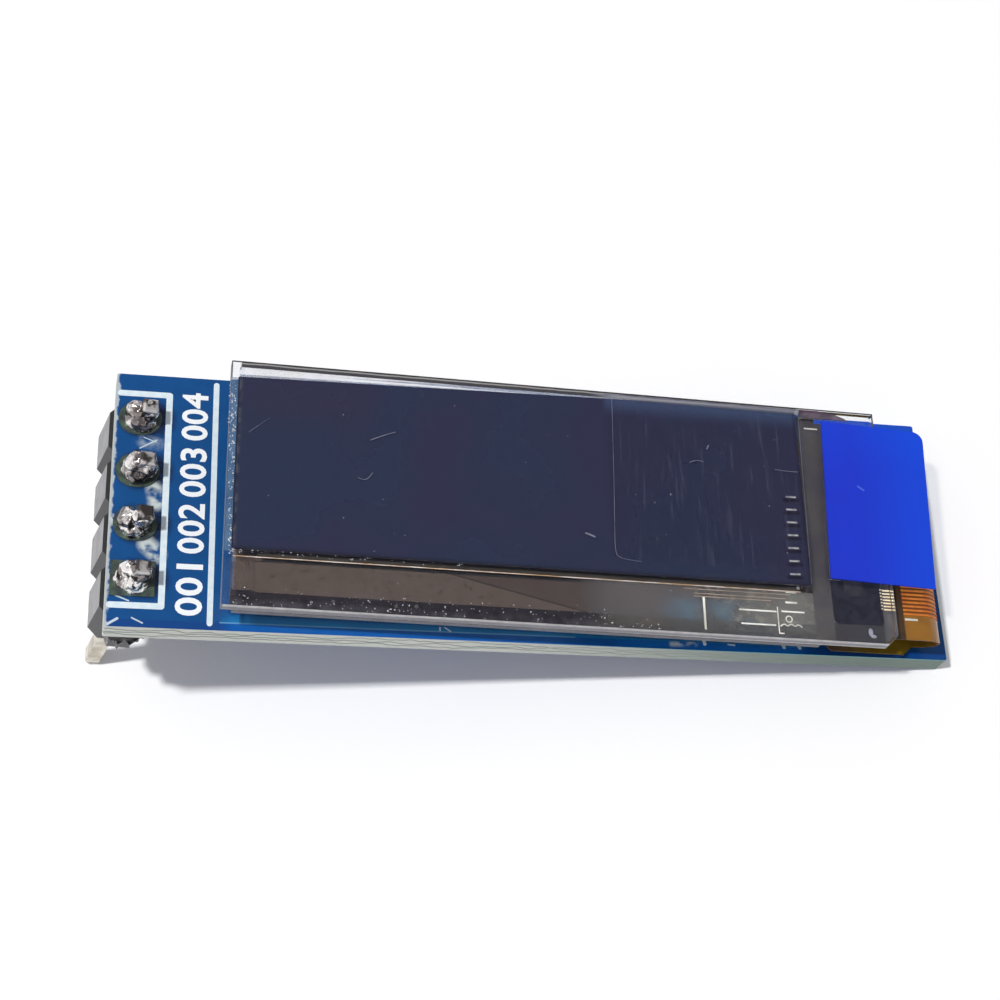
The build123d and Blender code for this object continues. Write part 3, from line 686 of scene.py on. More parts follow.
def film_material():
    """Clear protective film: nearly invisible, with scratches that catch the light and a painted sheen along its rear
    edge.
    """
    material, tree, shader = start_material("clear_film", 0.15, Specular_IOR_Level=0.25)
    place = panel_coordinates(tree)
    first = use(tree, "scratches", {"Vector": place, "Turn": (0, 0, 0.5), "Density": 0.35, "Width": 0.002})
    second = use(tree, "scratches", {"Vector": place, "Turn": (0, 0, 1.55), "Density": 0.35, "Width": 0.002})
    patches = use(tree, "mottle", {"Vector": place, "Scale": 0.55, "Low": 0.54, "High": 0.64})
    marks = calc(tree, "MULTIPLY", either(tree, [first, second]), patches)
    axes = put(tree, "ShaderNodeSeparateXYZ", {0: place}).outputs
    haze = use(tree, "mottle", {"Vector": place, "Scale": 2.2, "Low": 0.3, "High": 0.7})
    left = calc(tree, "MULTIPLY", fade(tree, axes["X"], 0.6, 0.35), fade(tree, haze, 0.0, 1.0, 0.0, 0.2))
    # Painted sheen: a pale band along the rear edge, stronger towards the right
    top = calc(tree, "MULTIPLY", fade(tree, axes["Y"], 10.95, 11.2), fade(tree, axes["X"], 16.0, 17.5, 0.05, 0.45))
    shown = either(tree, [calc(tree, "MULTIPLY", marks, 0.12), left, top])
    link(tree, calc(tree, "ADD", shown, 0.02, clamp=True), shader, "Alpha")
    link(tree, blend(tree, shown, colour(120, 122, 140), colour(225, 225, 228)), shader, "Base Color")
    return material


def adhesive_material():
    """Clear strip of the pull tab, streaked along its pull and a little duller than the film."""
    material, tree, shader = start_material("clear_adhesive", 0.3, Specular_IOR_Level=0.25)
    place = panel_coordinates(tree)
    stretched = put(tree, "ShaderNodeMapping", {"Vector": place, "Scale": (3.2, 0.3, 1.0)}).outputs[0]
    streaks = use(tree, "mottle", {"Vector": stretched, "Scale": 1.6, "Low": 0.52, "High": 0.72})
    link(tree, calc(tree, "ADD", calc(tree, "MULTIPLY", streaks, 0.05), 0.02), shader, "Alpha")
    link(tree, blend(tree, streaks, colour(70, 66, 90), colour(128, 126, 152)), shader, "Base Color")
    return material


def tab_material(colours):
    """Saturated blue film with faint creases, a painted sheen towards the upper right and a painted glint."""
    material, tree, shader = start_material("blue_tab", 0.4, Specular_IOR_Level=0.25)
    place = panel_coordinates(tree)
    axes = put(tree, "ShaderNodeSeparateXYZ", {0: place}).outputs
    tone = use(tree, "mottle", {"Vector": place, "Scale": 0.5, "Low": 0.3, "High": 0.75})
    blue_without_sheen = blend(tree, calc(tree, "MULTIPLY", tone, 0.5), colour(27, 55, 204), colour(26, 50, 190))
    # Painted sheen: lighter and greener towards the upper right
    across = calc(tree, "ADD", fade(tree, axes["X"], 28.0, 32.3, 0.0, 0.8), fade(tree, axes["Y"], 8.0, 11.0, 0.0, 0.3))
    base = blend(tree, across, blue_without_sheen, tuple(colours.tab))
    glint = line_mask(tree, place, (28.72, 7.5), (28.98, 7.32), 0.07, 0.06)
    link(tree, blend(tree, calc(tree, "MULTIPLY", glint, 0.5), base, colour(110, 146, 240)), shader, "Base Color")
    crease = use(tree, "mottle", {"Vector": place, "Scale": 1.4, "Low": 0.2, "High": 0.8})
    bump(tree, shader, crease, 0.2, 0.04 * MM)
    let_light_through(tree, shader, 0.9, (0.95, 0.97, 1.0))
    return material


def flex_material(colours):
    """Amber film, more olive where the folded layer lies on the board."""
    material, tree, shader = start_material("amber_flex", 0.25, Specular_IOR_Level=0.5)
    place = panel_coordinates(tree)
    axes = put(tree, "ShaderNodeSeparateXYZ", {0: place}).outputs
    low = fade(tree, axes["Z"], 0.9, 0.2)
    stripes = box_mask(tree, place, 29.5, 33, 1.75, 9.3, 0.15)
    base = blend(tree, stripes, tuple(colours.flex), colour(112, 62, 26))
    under = blend(tree, fade(tree, axes["X"], 27.5, 30.0), colour(112, 92, 74), colour(140, 120, 36))
    base = blend(tree, low, base, under)
    edge = fade(tree, axes["X"], 30.66, 30.58)
    base = blend(tree, calc(tree, "MULTIPLY", edge, calc(tree, "SUBTRACT", 1.0, low)), base, colour(56, 44, 30))
    tone = use(tree, "mottle", {"Vector": place, "Scale": 1.2})
    link(tree, blend(tree, calc(tree, "MULTIPLY", tone, 0.4), base, colour(104, 70, 24)), shader, "Base Color")
    grain = put(tree, "ShaderNodeTexNoise", {"Vector": place, "Scale": 5.0}).outputs[0]
    bump(tree, shader, grain, 0.2)
    return material


def seal_material():
    """Sealing resin: painted shadow, dark, opaque and dusty, along the front; nearly clear elsewhere."""
    material, tree, shader = start_material("seal_resin", 0.6, Specular_IOR_Level=0.2)
    place = panel_coordinates(tree)
    axes = put(tree, "ShaderNodeSeparateXYZ", {0: place}).outputs
    # Painted shadow: the front strip is dark and nearly opaque, lightened by dust and specks
    front = fade(tree, axes["Y"], 0.9, 0.82)
    front = calc(tree, "MULTIPLY", front, fade(tree, axes["X"], 17.2, 15.6))
    specks = use(tree, "specks", {"Vector": place, "Scale": 3.4, "Size": 0.34, "Share": 0.45})
    cloudy = use(tree, "mottle", {"Vector": place, "Scale": 1.5})
    dark = blend(tree, calc(tree, "MULTIPLY", cloudy, 0.5), colour(42, 35, 44), colour(60, 54, 62))
    dusty = calc(tree, "MULTIPLY", fade(tree, axes["Y"], 0.7, 0.2), calc(tree, "ADD", cloudy, 0.5))
    dark = blend(tree, calc(tree, "MULTIPLY", dusty, 0.24), dark, colour(132, 132, 142))
    dark = blend(tree, calc(tree, "MULTIPLY", specks, 0.6), dark, colour(128, 126, 130))
    right = fade(tree, axes["X"], 19.0, 25.0, 0.0, 1.0)
    clear = blend(tree, right, colour(84, 80, 76), colour(92, 92, 92))
    link(tree, blend(tree, front, clear, dark), shader, "Base Color")
    edge = fade(tree, axes["Y"], 0.9, 0.82, 0.02, 0.55)
    link(tree, fade(tree, front, 0.0, 1.0, edge, 0.97), shader, "Alpha")
    return material


def chip_material(name, node, body, length_axis):
    """A chip component: metal ends, masked by its own length, and a fired body."""
    material, tree, shader = start_material(name, 0.4)
    low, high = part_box(node)
    place = millimetres(tree, (low + high) / 2)
    axes = put(tree, "ShaderNodeSeparateXYZ", {0: place}).outputs
    ends = calc(tree, "GREATER_THAN", calc(tree, "ABSOLUTE", axes[length_axis]), 0.48)
    tone = use(tree, "mottle", {"Vector": place, "Scale": 3.0})
    fired = blend(tree, calc(tree, "MULTIPLY", tone, 0.4), body, tuple(0.7 * channel for channel in body))
    tin = blend(tree, tone, colour(206, 204, 198), colour(160, 158, 152))
    link(tree, blend(tree, ends, fired, tin), shader, "Base Color")
    link(tree, ends, shader, "Metallic")
    grain = put(tree, "ShaderNodeTexNoise", {"Vector": place, "Scale": 12.0}).outputs[0]
    bump(tree, shader, grain, 0.3, 0.01 * MM)
    return material


def bright_line_material(name, bright, dull, alpha=1.0):
    """A fine bright line in or on the glass, uneven along its length."""
    material, tree, shader = start_material(name, 0.4, Alpha=alpha, Specular_IOR_Level=0.3)
    place = panel_coordinates(tree)
    tone = use(tree, "mottle", {"Vector": place, "Scale": 0.9, "Low": 0.35, "High": 0.65})
    link(tree, blend(tree, tone, bright, dull), shader, "Base Color")
    grain = put(tree, "ShaderNodeTexNoise", {"Vector": place, "Scale": 9.0}).outputs[0]
    bump(tree, shader, grain, 0.2, 0.01 * MM)
    return material


def rim_material():
    """The glass's rear rim from above: painted shade in dark arrises with grey between, clearer at the ends."""
    material, tree, shader = start_material("rear_rim", 0.35)
    place = panel_coordinates(tree)
    axes = put(tree, "ShaderNodeSeparateXYZ", {0: place}).outputs
    wander = put(tree, "ShaderNodeTexNoise", {"Vector": place, "Scale": 0.9, "Detail": 3.0}).outputs[0]
    across = calc(tree, "ADD", axes["Y"], calc(tree, "MULTIPLY", calc(tree, "SUBTRACT", wander, 0.5), 0.08))
    # Painted shade: two dark arris lines
    lines = either(tree, [fade(tree, across, 11.41, 11.43), fade(tree, across, 11.37, 11.345)])
    tone = blend(tree, lines, colour(156, 156, 152), colour(48, 44, 43))
    ends = either(tree, [fade(tree, axes["X"], 0.45, 0.38), fade(tree, axes["X"], 26.1, 26.4)])
    ends = calc(tree, "MULTIPLY", ends, fade(tree, axes["Y"], 11.45, 11.42))
    tone = blend(tree, ends, tone, colour(240, 242, 242))
    tall = either(tree, [fade(tree, axes["X"], 0.05, 0.03), fade(tree, axes["X"], 29.9, 29.93)])
    tone = blend(tree, tall, tone, colour(84, 84, 90))
    link(tree, tone, shader, "Base Color")
    bump(tree, shader, wander, 0.2, 0.01 * MM)
    return material


def haze_material():
    """Cloudy resin between the glasses, thicker towards the right."""
    material, tree, shader = start_material("resin_haze", 0.6, Specular_IOR_Level=0.1)
    place = panel_coordinates(tree)
    axes = put(tree, "ShaderNodeSeparateXYZ", {0: place}).outputs
    cloud = use(tree, "mottle", {"Vector": place, "Scale": 0.7, "Low": 0.38, "High": 0.62})
    lower = calc(tree, "MULTIPLY", cloud, fade(tree, axes["Y"], 2.0, 1.2))
    lower = calc(tree, "MULTIPLY", lower, box_mask(tree, place, 19.5, 23.9, -1, 2.4, 1.0))
    tone = blend(tree, fade(tree, axes["X"], 21.0, 25.5), colour(68, 63, 62), colour(90, 88, 84))
    tone = blend(tree, calc(tree, "MULTIPLY", lower, 0.85), tone, colour(62, 92, 108))
    wisps = use(tree, "mottle", {"Vector": place, "Scale": 2.6, "Low": 0.5, "High": 0.66})
    wisps = calc(tree, "MULTIPLY", wisps, fade(tree, axes["X"], 20.0, 22.0, 0.0, 0.45))
    link(tree, blend(tree, wisps, tone, colour(128, 126, 110)), shader, "Base Color")
    solid = fade(tree, axes["X"], 15.0, 17.6, 0.0, 0.84)
    link(tree, calc(tree, "SUBTRACT", solid, calc(tree, "MULTIPLY", lower, 0.2), clamp=True), shader, "Alpha")
    return material


def smear_material():
    """Thin dried sealant, purple-brown and see-through towards its rim."""
    material, tree, shader = start_material("sealant_smear", 0.4)
    place = panel_coordinates(tree)
    tone = use(tree, "mottle", {"Vector": place, "Scale": 1.1, "Low": 0.4, "High": 0.6})
    link(tree, blend(tree, tone, colour(66, 54, 72), colour(92, 66, 86)), shader, "Base Color")
    link(tree, fade(tree, tone, 0.0, 1.0, 0.9, 0.75), shader, "Alpha")
    return material


def dress(node, material):
    """Gives a CAD node its finish."""
    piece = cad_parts[node]
    piece.data.materials.clear()
    piece.data.materials.append(material)


# Modelling helpers: new pieces are modelled in millimetres, then brought to the module's frame

def clear_selection():
    if bpy.context.object and bpy.context.object.mode != "OBJECT":
        bpy.ops.object.mode_set(mode="OBJECT")
    bpy.ops.object.select_all(action="DESELECT")


def choose(piece):
    clear_selection()
    piece.select_set(True)
    bpy.context.view_layer.objects.active = piece


def apply_place(piece):
    choose(piece)
    bpy.ops.object.transform_apply(location=True, rotation=True, scale=True)


def module_frame():
    return Matrix.Scale(MM, 4)


def board_frame():
    return Matrix.Translation(BOARD_CORNER) @ Matrix.Scale(MM, 4)


def panel_frame():
    return panel_matrix() @ Matrix.Scale(MM, 4)


def keep(piece, name, material, place):
    """Names a finished piece, brings it to its place in the module and rides it on the body."""
    piece.matrix_world = place @ piece.matrix_world
    apply_place(piece)
    piece.name = name
    piece.data.materials.clear()
    piece.data.materials.append(bpy.data.materials[material])
    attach(piece, "root")
    return piece


def finish_modifier(piece, kind, **settings):
    choose(piece)
    made = piece.modifiers.new(kind.lower(), kind)
    for name, setting in settings.items():
        setattr(made, name, setting)
    bpy.ops.object.modifier_apply(modifier=made.name)


def pick(piece, kind, test):
    """Selects the faces, edges or vertices that pass a test, in edit mode."""
    choose(piece)
    bpy.ops.object.mode_set(mode="EDIT")
    bpy.ops.mesh.select_mode(type=kind)
    bpy.ops.mesh.select_all(action="DESELECT")
    mesh = bmesh.from_edit_mesh(piece.data)
    parts = {"FACE": mesh.faces, "EDGE": mesh.edges, "VERT": mesh.verts}[kind]
    for part in parts:
        if test(part):
            part.select_set(True)
    mesh.select_flush_mode()
    bmesh.update_edit_mesh(piece.data)


def strip(left, front, bottom, length, width, height, bevel=0.0):
    """A thin bar with softened edges."""
    bevel = bevel or 0.2 * min(length, width, height)
    clear_selection()
    middle = (left + length / 2, front + width / 2, bottom + height / 2)
    bpy.ops.mesh.primitive_cube_add(size=1.0, location=middle, scale=(length, width, height))
    piece = bpy.context.object
    apply_place(piece)
    bpy.ops.object.mode_set(mode="EDIT")
    bpy.ops.mesh.select_all(action="SELECT")
    bpy.ops.mesh.bevel(offset=bevel, segments=2)
    bpy.ops.object.mode_set(mode="OBJECT")
    return piece


def cut(piece, point, normal):
    """Cuts away what lies on the normal's side of a plane and closes the cut."""
    choose(piece)
    bpy.ops.object.mode_set(mode="EDIT")
    bpy.ops.mesh.select_all(action="SELECT")
    bpy.ops.mesh.bisect(plane_co=point, plane_no=normal, use_fill=True, clear_outer=True)
    bpy.ops.object.mode_set(mode="OBJECT")


def drawn_line(points, width):
    """A thin smooth line through points, as a mesh."""
    clear_selection()
    bpy.ops.curve.primitive_nurbs_path_add()
    piece = bpy.context.object
    path = piece.data
    path.splines.clear()
    spline = path.splines.new("NURBS")
    spline.points.add(len(points) - 1)
    for point, place in zip(spline.points, points):
        point.co = (*place, 1.0)
    spline.order_u = min(3, len(points))
    spline.use_endpoint_u = True
    path.resolution_u = 4
    path.bevel_depth = width / 2
    path.bevel_resolution = 1
    path.use_fill_caps = True
    bpy.ops.object.convert(target="MESH")
    return bpy.context.object


def join(pieces):
    """Joins several objects into the first."""
    clear_selection()
    for piece in pieces:
        piece.select_set(True)
    bpy.context.view_layer.objects.active = pieces[0]
    bpy.ops.object.join()
    return bpy.context.object


def lump(place, radii, turn=(0, 0, 0)):
    clear_selection()
    bpy.ops.mesh.primitive_uv_sphere_add(segments=20, ring_count=12, radius=1.0, location=place, scale=radii, rotation=turn)
    return bpy.context.object


def spike(place, radius, depth, turn=(0, 0, 0)):
    clear_selection()
    bpy.ops.mesh.primitive_cone_add(vertices=5, radius1=radius, radius2=0.02, depth=depth, location=place, rotation=turn)
    return bpy.context.object


def melt(pieces, voxel, texture, depth):
    """Melts overlapping forms into one skin and roughens it."""
    piece = join(pieces)
    apply_place(piece)
    finish_modifier(piece, "REMESH", mode="VOXEL", voxel_size=voxel)
    finish_modifier(piece, "DISPLACE", texture=texture, texture_coords="LOCAL", strength=depth, mid_level=0.5)
    return piece


def lump_texture(name, kind, size):
    texture = bpy.data.textures.new(name, kind)
    texture.noise_scale = size
    return texture


# Operators, one for each piece or group of like pieces

class MODULE_OT_finishes(bpy.types.Operator):
    """Gives every piece of the module its finish"""
    bl_idname = "module.finishes"
    bl_label = "Finishes"

    def execute(self, context):
        colours = context.scene.module_colours
        build_groups()
        tin = metal_material("tinned_copper", colour(214, 214, 210), colour(168, 168, 164), 2.0, 0.3, 0.3)
        solder = metal_material("solder", colour(226, 226, 224), colour(150, 150, 152), 1.6, 0.25, 0.5)
        pin = pin_material()
        metal_material("flex_copper", tuple(colours.copper), colour(206, 112, 40), 1.5, 0.5, 0.2, 0.3)
        joint_material()
        edge_material()
        smear_material()
        bright_line_material("gold_line", tuple(colours.gold), colour(188, 150, 108))
        bright_line_material("silver_line", colour(236, 234, 224), colour(184, 182, 170))
        bright_line_material("dust", colour(220, 222, 224), colour(176, 180, 186))
        # Scratches on the film, and painted highlights along its layers' edges
        bright_line_material("scratch_and_edge_highlight", colour(150, 152, 172), colour(110, 112, 136), 0.6)
        bright_line_material("dark_mask", colour(60, 58, 63), colour(70, 67, 66))
        bright_line_material("dark_surround", colour(22, 20, 28), colour(17, 16, 23))
        bright_line_material("end_resin", colour(58, 56, 58), colour(40, 38, 42))
        bright_line_material("haze_dust", colour(120, 150, 176), colour(96, 124, 150), 0.35)
        haze_material()
        bright_line_material("resin_glint", colour(156, 156, 170), colour(112, 112, 126), 0.85)
        bright_line_material("dull_gold", colour(176, 154, 130), colour(138, 118, 96))
        rim_material()
        bright_line_material("pale_gold", colour(240, 226, 196), colour(204, 176, 134))
        ink = ink_material(colours)
        finishes = {
            "pcb_board": board_material(colours),
            "flex_landing_pads": tin,
            "silkscreen_lines": ink,
            "rear_silkscreen_lines": ink,
            "header_housing": housing_material(),
            "panel_tape": tape_material(colours),
            "cap_glass": glass_material("cap_glass_clear", 1.03, colour(236, 234, 230)),
            "substrate_glass": glass_material("front_glass_clear", 1.32, colour(242, 242, 244)),
            "perimeter_seal": seal_material(),
            "desiccant_sheet": plastic_material("desiccant", colour(150, 148, 144), colour(120, 118, 114), 0.8),
            "oled_stack": plastic_material("organic_layers", colour(84, 78, 66), colour(66, 54, 44), 0.4, 0.8),
            "polarizer": display_material(colours),
            "protective_film": film_material(),
            "pull_tab_adhesive": adhesive_material(),
            "pull_tab": tab_material(colours),
            "driver_ic": plastic_material("silicon", colour(70, 70, 84), colour(90, 88, 100), 0.15),
            "ic_cover": plastic_material("chip_cover", tuple(colours.cover), colour(36, 36, 52), 0.4),
            "flex_cable": flex_material(colours),
            "flex_traces": bpy.data.materials["flex_copper"],
            "flex_solder_joints": solder,
            "component_solder": solder,
            "regulator_body": plastic_material("moulded_black", colour(30, 30, 32), colour(46, 46, 48), 0.5),
            "regulator_leads": tin,
        }
        pad = pad_material()
        for index in range(1, PIN_COUNT + 1):
            finishes[f"plated_hole_{index}"] = pad
            finishes[f"header_pin_{index}"] = pin
            finishes[f"header_solder_{index}"] = solder
        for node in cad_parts:
            kind = node.rsplit("_", 1)[0]
            if kind in ("capacitor", "resistor"):
                low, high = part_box(node)
                axis = "X" if high.x - low.x > high.y - low.y else "Y"
                body = colour(176, 146, 110) if kind == "capacitor" else colour(34, 34, 38)
                finishes[node] = chip_material(f"{node}_finish", node, body, axis)
        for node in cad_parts:
            dress(node, finishes[node])
        return {"FINISHED"}


class MODULE_OT_numbers(bpy.types.Operator):
    """Prints the plain pin numbers beside the header"""
    bl_idname = "module.numbers"
    bl_label = "Pin numbers"

    def execute(self, context):
        sizes = context.scene.module_sizes
        numbers = []
        for index in range(PIN_COUNT):
            clear_selection()
            bpy.ops.object.text_add()
            text = bpy.context.object
            text.data.body = f"00{index + 1}"
            text.data.align_x = "CENTER"
            text.data.align_y = "CENTER"
            text.data.space_character = 1.06
            text.data.offset = 0.022
            text.data.extrude = 0.5
            text.data.resolution_u = 4
            bpy.ops.object.convert(target="MESH")
            number = bpy.context.object
            length, height = (sizes.number_length / MM, sizes.number_height / MM)
            number.scale = (length / number.dimensions.x, height / number.dimensions.y, sizes.ink_height / MM)
            number.rotation_euler = (0, 0, math.radians(90))
            run = BOARD_WIDTH / 2 + (index - (PIN_COUNT - 1) / 2) * sizes.number_pitch / MM
            number.location = (sizes.number_place / MM, run, sizes.ink_height / MM / 2 + 0.001)
            numbers.append(number)
        for number in numbers:
            apply_place(number)
        keep(join(numbers), "pin_numbers", "white_ink", board_frame())
        return {"FINISHED"}


# Each lump of a joint: its centre from the pin's hole and the pad, then its radii
SOLDER_FORMS = (
    (
        (-0.04, -0.04, 0.0, 0.8, 0.7, 0.5),
        (0.3, 0.02, 0.55, 0.52, 0.5, 0.74),
        (-0.24, 0.22, 0.5, 0.42, 0.36, 0.42),
        (0.1, -0.34, 0.3, 0.42, 0.34, 0.42),
    ),
    (
        (-0.02, -0.02, 0.0, 0.76, 0.72, 0.5),
        (0.3, 0.0, 0.55, 0.5, 0.46, 0.76),
        (-0.3, 0.08, 0.45, 0.44, 0.44, 0.5),
        (0.1, -0.36, 0.2, 0.36, 0.28, 0.3),
    ),
    (
        (0.0, 0.0, 0.0, 0.76, 0.74, 0.55),
        (0.32, -0.03, 0.55, 0.52, 0.48, 0.78),
        (-0.16, 0.08, 0.65, 0.42, 0.46, 0.5),
        (0.1, -0.36, 0.35, 0.44, 0.32, 0.3),
    ),
    (
        (0.02, -0.02, 0.0, 0.74, 0.74, 0.5),
        (0.34, 0.04, 0.55, 0.48, 0.46, 0.78),
        (-0.2, 0.16, 0.5, 0.44, 0.4, 0.5),
        (0.0, -0.34, 0.3, 0.42, 0.34, 0.34),
    ),
)


class MODULE_OT_solder(bpy.types.Operator):
    """Replaces the plain header joints with lumpy solder"""
    bl_idname = "module.solder"
    bl_label = "Header solder"

    def execute(self, context):
        sizes = context.scene.module_sizes
        texture = lump_texture("solder_lumps", "CLOUDS", 0.5)
        pad_top = (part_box("plated_hole_1")[1].z) / MM
        for index, forms in enumerate(SOLDER_FORMS):
            y = (index - (PIN_COUNT - 1) / 2) * PIN_PITCH
            lumps = [lump((form[0], y + form[1], pad_top + form[2]), form[3:]) for form in forms]
            piece = melt(lumps, 0.045, texture, sizes.solder_lump / MM)
            finish_modifier(piece, "SMOOTH", factor=0.5, iterations=6)
            cut(piece, (0, 0, pad_top), (0, 0, -1))
            bpy.ops.object.shade_smooth_by_angle(angle=math.radians(60))
            node = f"header_solder_{index + 1}"
            keep(piece, f"solder_joint_{index + 1}", "lumpy_solder", module_frame())
            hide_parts(node)
        return {"FINISHED"}


class MODULE_OT_burr(bpy.types.Operator):
    """Adds the torn, jagged plastic under the housing's front end"""
    bl_idname = "module.burr"
    bl_label = "Housing burr"

    def execute(self, context):
        texture = lump_texture("torn_plastic", "CLOUDS", 0.2)
        down = (math.pi, 0, 0)
        forms = [
            lump((-0.1, -5.42, -1.25), (0.72, 0.24, 0.4)),
            lump((-0.55, -5.4, -1.5), (0.3, 0.22, 0.35)),
            spike((-0.36, -5.58, -1.95), 0.26, 1.25, down),
            spike((0.14, -5.58, -1.72), 0.26, 0.8, down),
            spike((-0.72, -5.52, -1.6), 0.2, 0.7, (math.pi, 0.2, 0)),
            spike((0.42, -5.56, -1.42), 0.2, 0.55, (math.pi, -0.35, 0)),
            spike((0.66, -5.5, -1.2), 0.14, 0.4, (math.pi, -0.8, 0)),
        ]
        piece = melt(forms, 0.05, texture, 0.1)
        keep(piece, "housing_burr", "black_housing", module_frame())
        return {"FINISHED"}


class MODULE_OT_traces(bpy.types.Operator):
    """Runs the fine copper lines along the flex and round its fold"""
    bl_idname = "module.traces"
    bl_label = "Flex traces"

    def execute(self, context):
        sizes = context.scene.module_sizes
        pitch = sizes.trace_pitch / MM
        start, first = 30.62, 1.72
        top = FOLD_MIDDLE + FOLD_RADIUS + 0.014
        clear_selection()
        bpy.ops.mesh.primitive_plane_add(
            size=1.0, location=((start + FOLD_START) / 2, first, top)
        )
        piece = bpy.context.object
        piece.scale = (FOLD_START - start, pitch * 0.5, 1.0)
        apply_place(piece)
        pick(piece, "EDGE", lambda edge: all(vert.co.x > FOLD_START - 0.01 for vert in edge.verts))
        bpy.ops.mesh.spin(steps=24, angle=-math.pi, center=(FOLD_START, 0, FOLD_MIDDLE), axis=(0, 1, 0))
        bpy.ops.mesh.extrude_region_move(TRANSFORM_OT_translate={"value": (-0.9, 0, 0)})
        bpy.ops.mesh.select_all(action="SELECT")
        bpy.ops.mesh.remove_doubles(threshold=0.001)
        bpy.ops.mesh.normals_make_consistent(inside=False)
        bpy.ops.object.mode_set(mode="OBJECT")
        finish_modifier(piece, "SOLIDIFY", thickness=0.012, offset=0.0)
        finish_modifier(
            piece,
            "ARRAY",
            count=sizes.trace_count,
            use_relative_offset=False,
            use_constant_offset=True,
            constant_offset_displace=(0, pitch, 0),
        )
        keep(piece, "fine_traces", "flex_copper", panel_frame())
        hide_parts("flex_traces")
        return {"FINISHED"}


class MODULE_OT_glass_lines(bpy.types.Operator):
    """Prints the fine metal lines, bars and dark band on the underside of the glass"""
    bl_idname = "module.glass_lines"
    bl_label = "Glass lines"

    def execute(self, context):
        width = context.scene.module_sizes.line_width / MM
        height = GLASS_UNDERSIDE
        lines = [strip(0.42, 2.36, height, 25.3, width, 0.004)]
        keep(join(lines), "gold_edge_line", "gold_line", panel_frame())
        fine = [
            strip(left, front, height, length, width * 0.6, 0.004)
            for left, front, length in ((20.68, 2.0, 4.3), (20.68, 1.86, 3.6), (20.2, 2.2, 5.0))
        ]
        keep(join(fine), "fine_gold_lines", "dull_gold", panel_frame())
        bars = [
            strip(22.75, 1.34, height, 1.74, 0.07, 0.004),
            strip(22.8, 0.69, height, 1.62, 0.07, 0.004),
            strip(24.72, 1.37, height, 1.08, 0.07, 0.004),
            strip(24.52, 0.35, height, 0.05, 1.25, 0.004),
            strip(24.52, 0.33, height, 0.25, 0.06, 0.004),
            strip(21.09, 0.33, height, 0.1, 1.52, 0.004),
            strip(24.95, 1.8, height, 0.55, 0.09, 0.004),
            strip(25.0, 2.3, height, 0.5, 0.04, 0.004),
        ]
        wave = [(24.62 + 0.17 * step, 0.76 + (0.09 if step % 2 else -0.07), height) for step in range(7)]
        bars.append(drawn_line(wave, 0.06))
        ring = [
            (25.05 + 0.15 * math.cos(turn), 1.05 + 0.15 * math.sin(turn), height)
            for turn in [math.tau * step / 10 for step in range(12)]
        ]
        bars.append(drawn_line(ring, 0.05))
        keep(join(bars), "contact_bars", "silver_line", panel_frame())
        rungs = [strip(29.62, 1.76 + 0.152 * step, height, 0.36, 0.07, 0.004) for step in range(7)]
        rungs += [strip(29.5, 1.8 + 0.152 * step, height, 0.08, 0.05, 0.004) for step in range(7)]
        keep(join(rungs), "bond_ladder", "pale_gold", panel_frame())
        band = strip(26.3, 0.06, height - 0.004, 0.88, 11.16, 0.003)
        keep(join([band, strip(27.18, 3.05, height - 0.004, 0.5, 7.9, 0.003)]), "end_band", "dark_mask", panel_frame())
        around = strip(27.18, 0.05, height - 0.012, 2.36, 0.97, 0.003)
        keep(around, "chip_surround", "dark_surround", panel_frame())
        end_resin = [
            strip(29.54, 0.5, height - 0.012, 0.42, 10.2, 0.003),
            strip(29.54, 0.3, height - 0.012, 0.28, 0.2, 0.003),
            strip(29.54, 0.08, height - 0.012, 0.08, 0.22, 0.003),
        ]
        keep(join(end_resin), "end_resin", "end_resin", panel_frame())
        haze = strip(14.5, 0.36, height - 0.016, 11.8, 2.0, 0.003)
        keep(haze, "resin_haze", "resin_haze", panel_frame())
        # A small resin blob, pale with a painted glint
        blob = melt([lump((28.86, 0.66, height + 0.02), (0.11, 0.2, 0.02)), lump((28.98, 0.46, height + 0.02), (0.16, 0.09, 0.02))], 0.02, lump_texture("blob", "CLOUDS", 0.2), 0.02)
        keep(blob, "resin_glint_blob", "resin_glint", panel_frame())
        pad = strip(30.66, 1.41, FOLD_MIDDLE + FOLD_RADIUS, 0.62, 0.1, 0.014, 0.005)
        keep(pad, "flex_test_pad", "silver_line", panel_frame())
        dash = strip(26.66, 10.62, height, 0.66, 0.07, 0.004)
        edge = strip(26.45, 11.16, height, 1.2, 0.05, 0.004)
        keep(join([dash, edge]), "band_marks", "silver_line", panel_frame())
        return {"FINISHED"}


class MODULE_OT_smear(bpy.types.Operator):
    """Adds the thin curved smear of sealant at the back of the glass"""
    bl_idname = "module.smear"
    bl_label = "Sealant smear"

    def execute(self, context):
        piece = strip(26.25, 11.0, GLASS_FACE, 2.65, 0.42, 0.005)
        for point, normal in (
            ((27.6, 11.38, 0), (0.12, 1.0, 0)),
            ((28.2, 11.26, 0), (0.35, 1.0, 0)),
            ((28.6, 11.1, 0), (0.7, 1.0, 0)),
        ):
            cut(piece, point, normal)
        keep(piece, "sealant_smear", "sealant_smear", panel_frame())
        return {"FINISHED"}


def drawn_corner(length, low, depth, thin):
    """The ground face across the glass's cut corner."""
    piece = strip(-0.3, -thin, 0, 0.6, thin, depth)
    piece.rotation_euler = (0, 0, math.radians(45))
    piece.location = (length - 0.225, 0.225, low)
    apply_place(piece)
    return piece


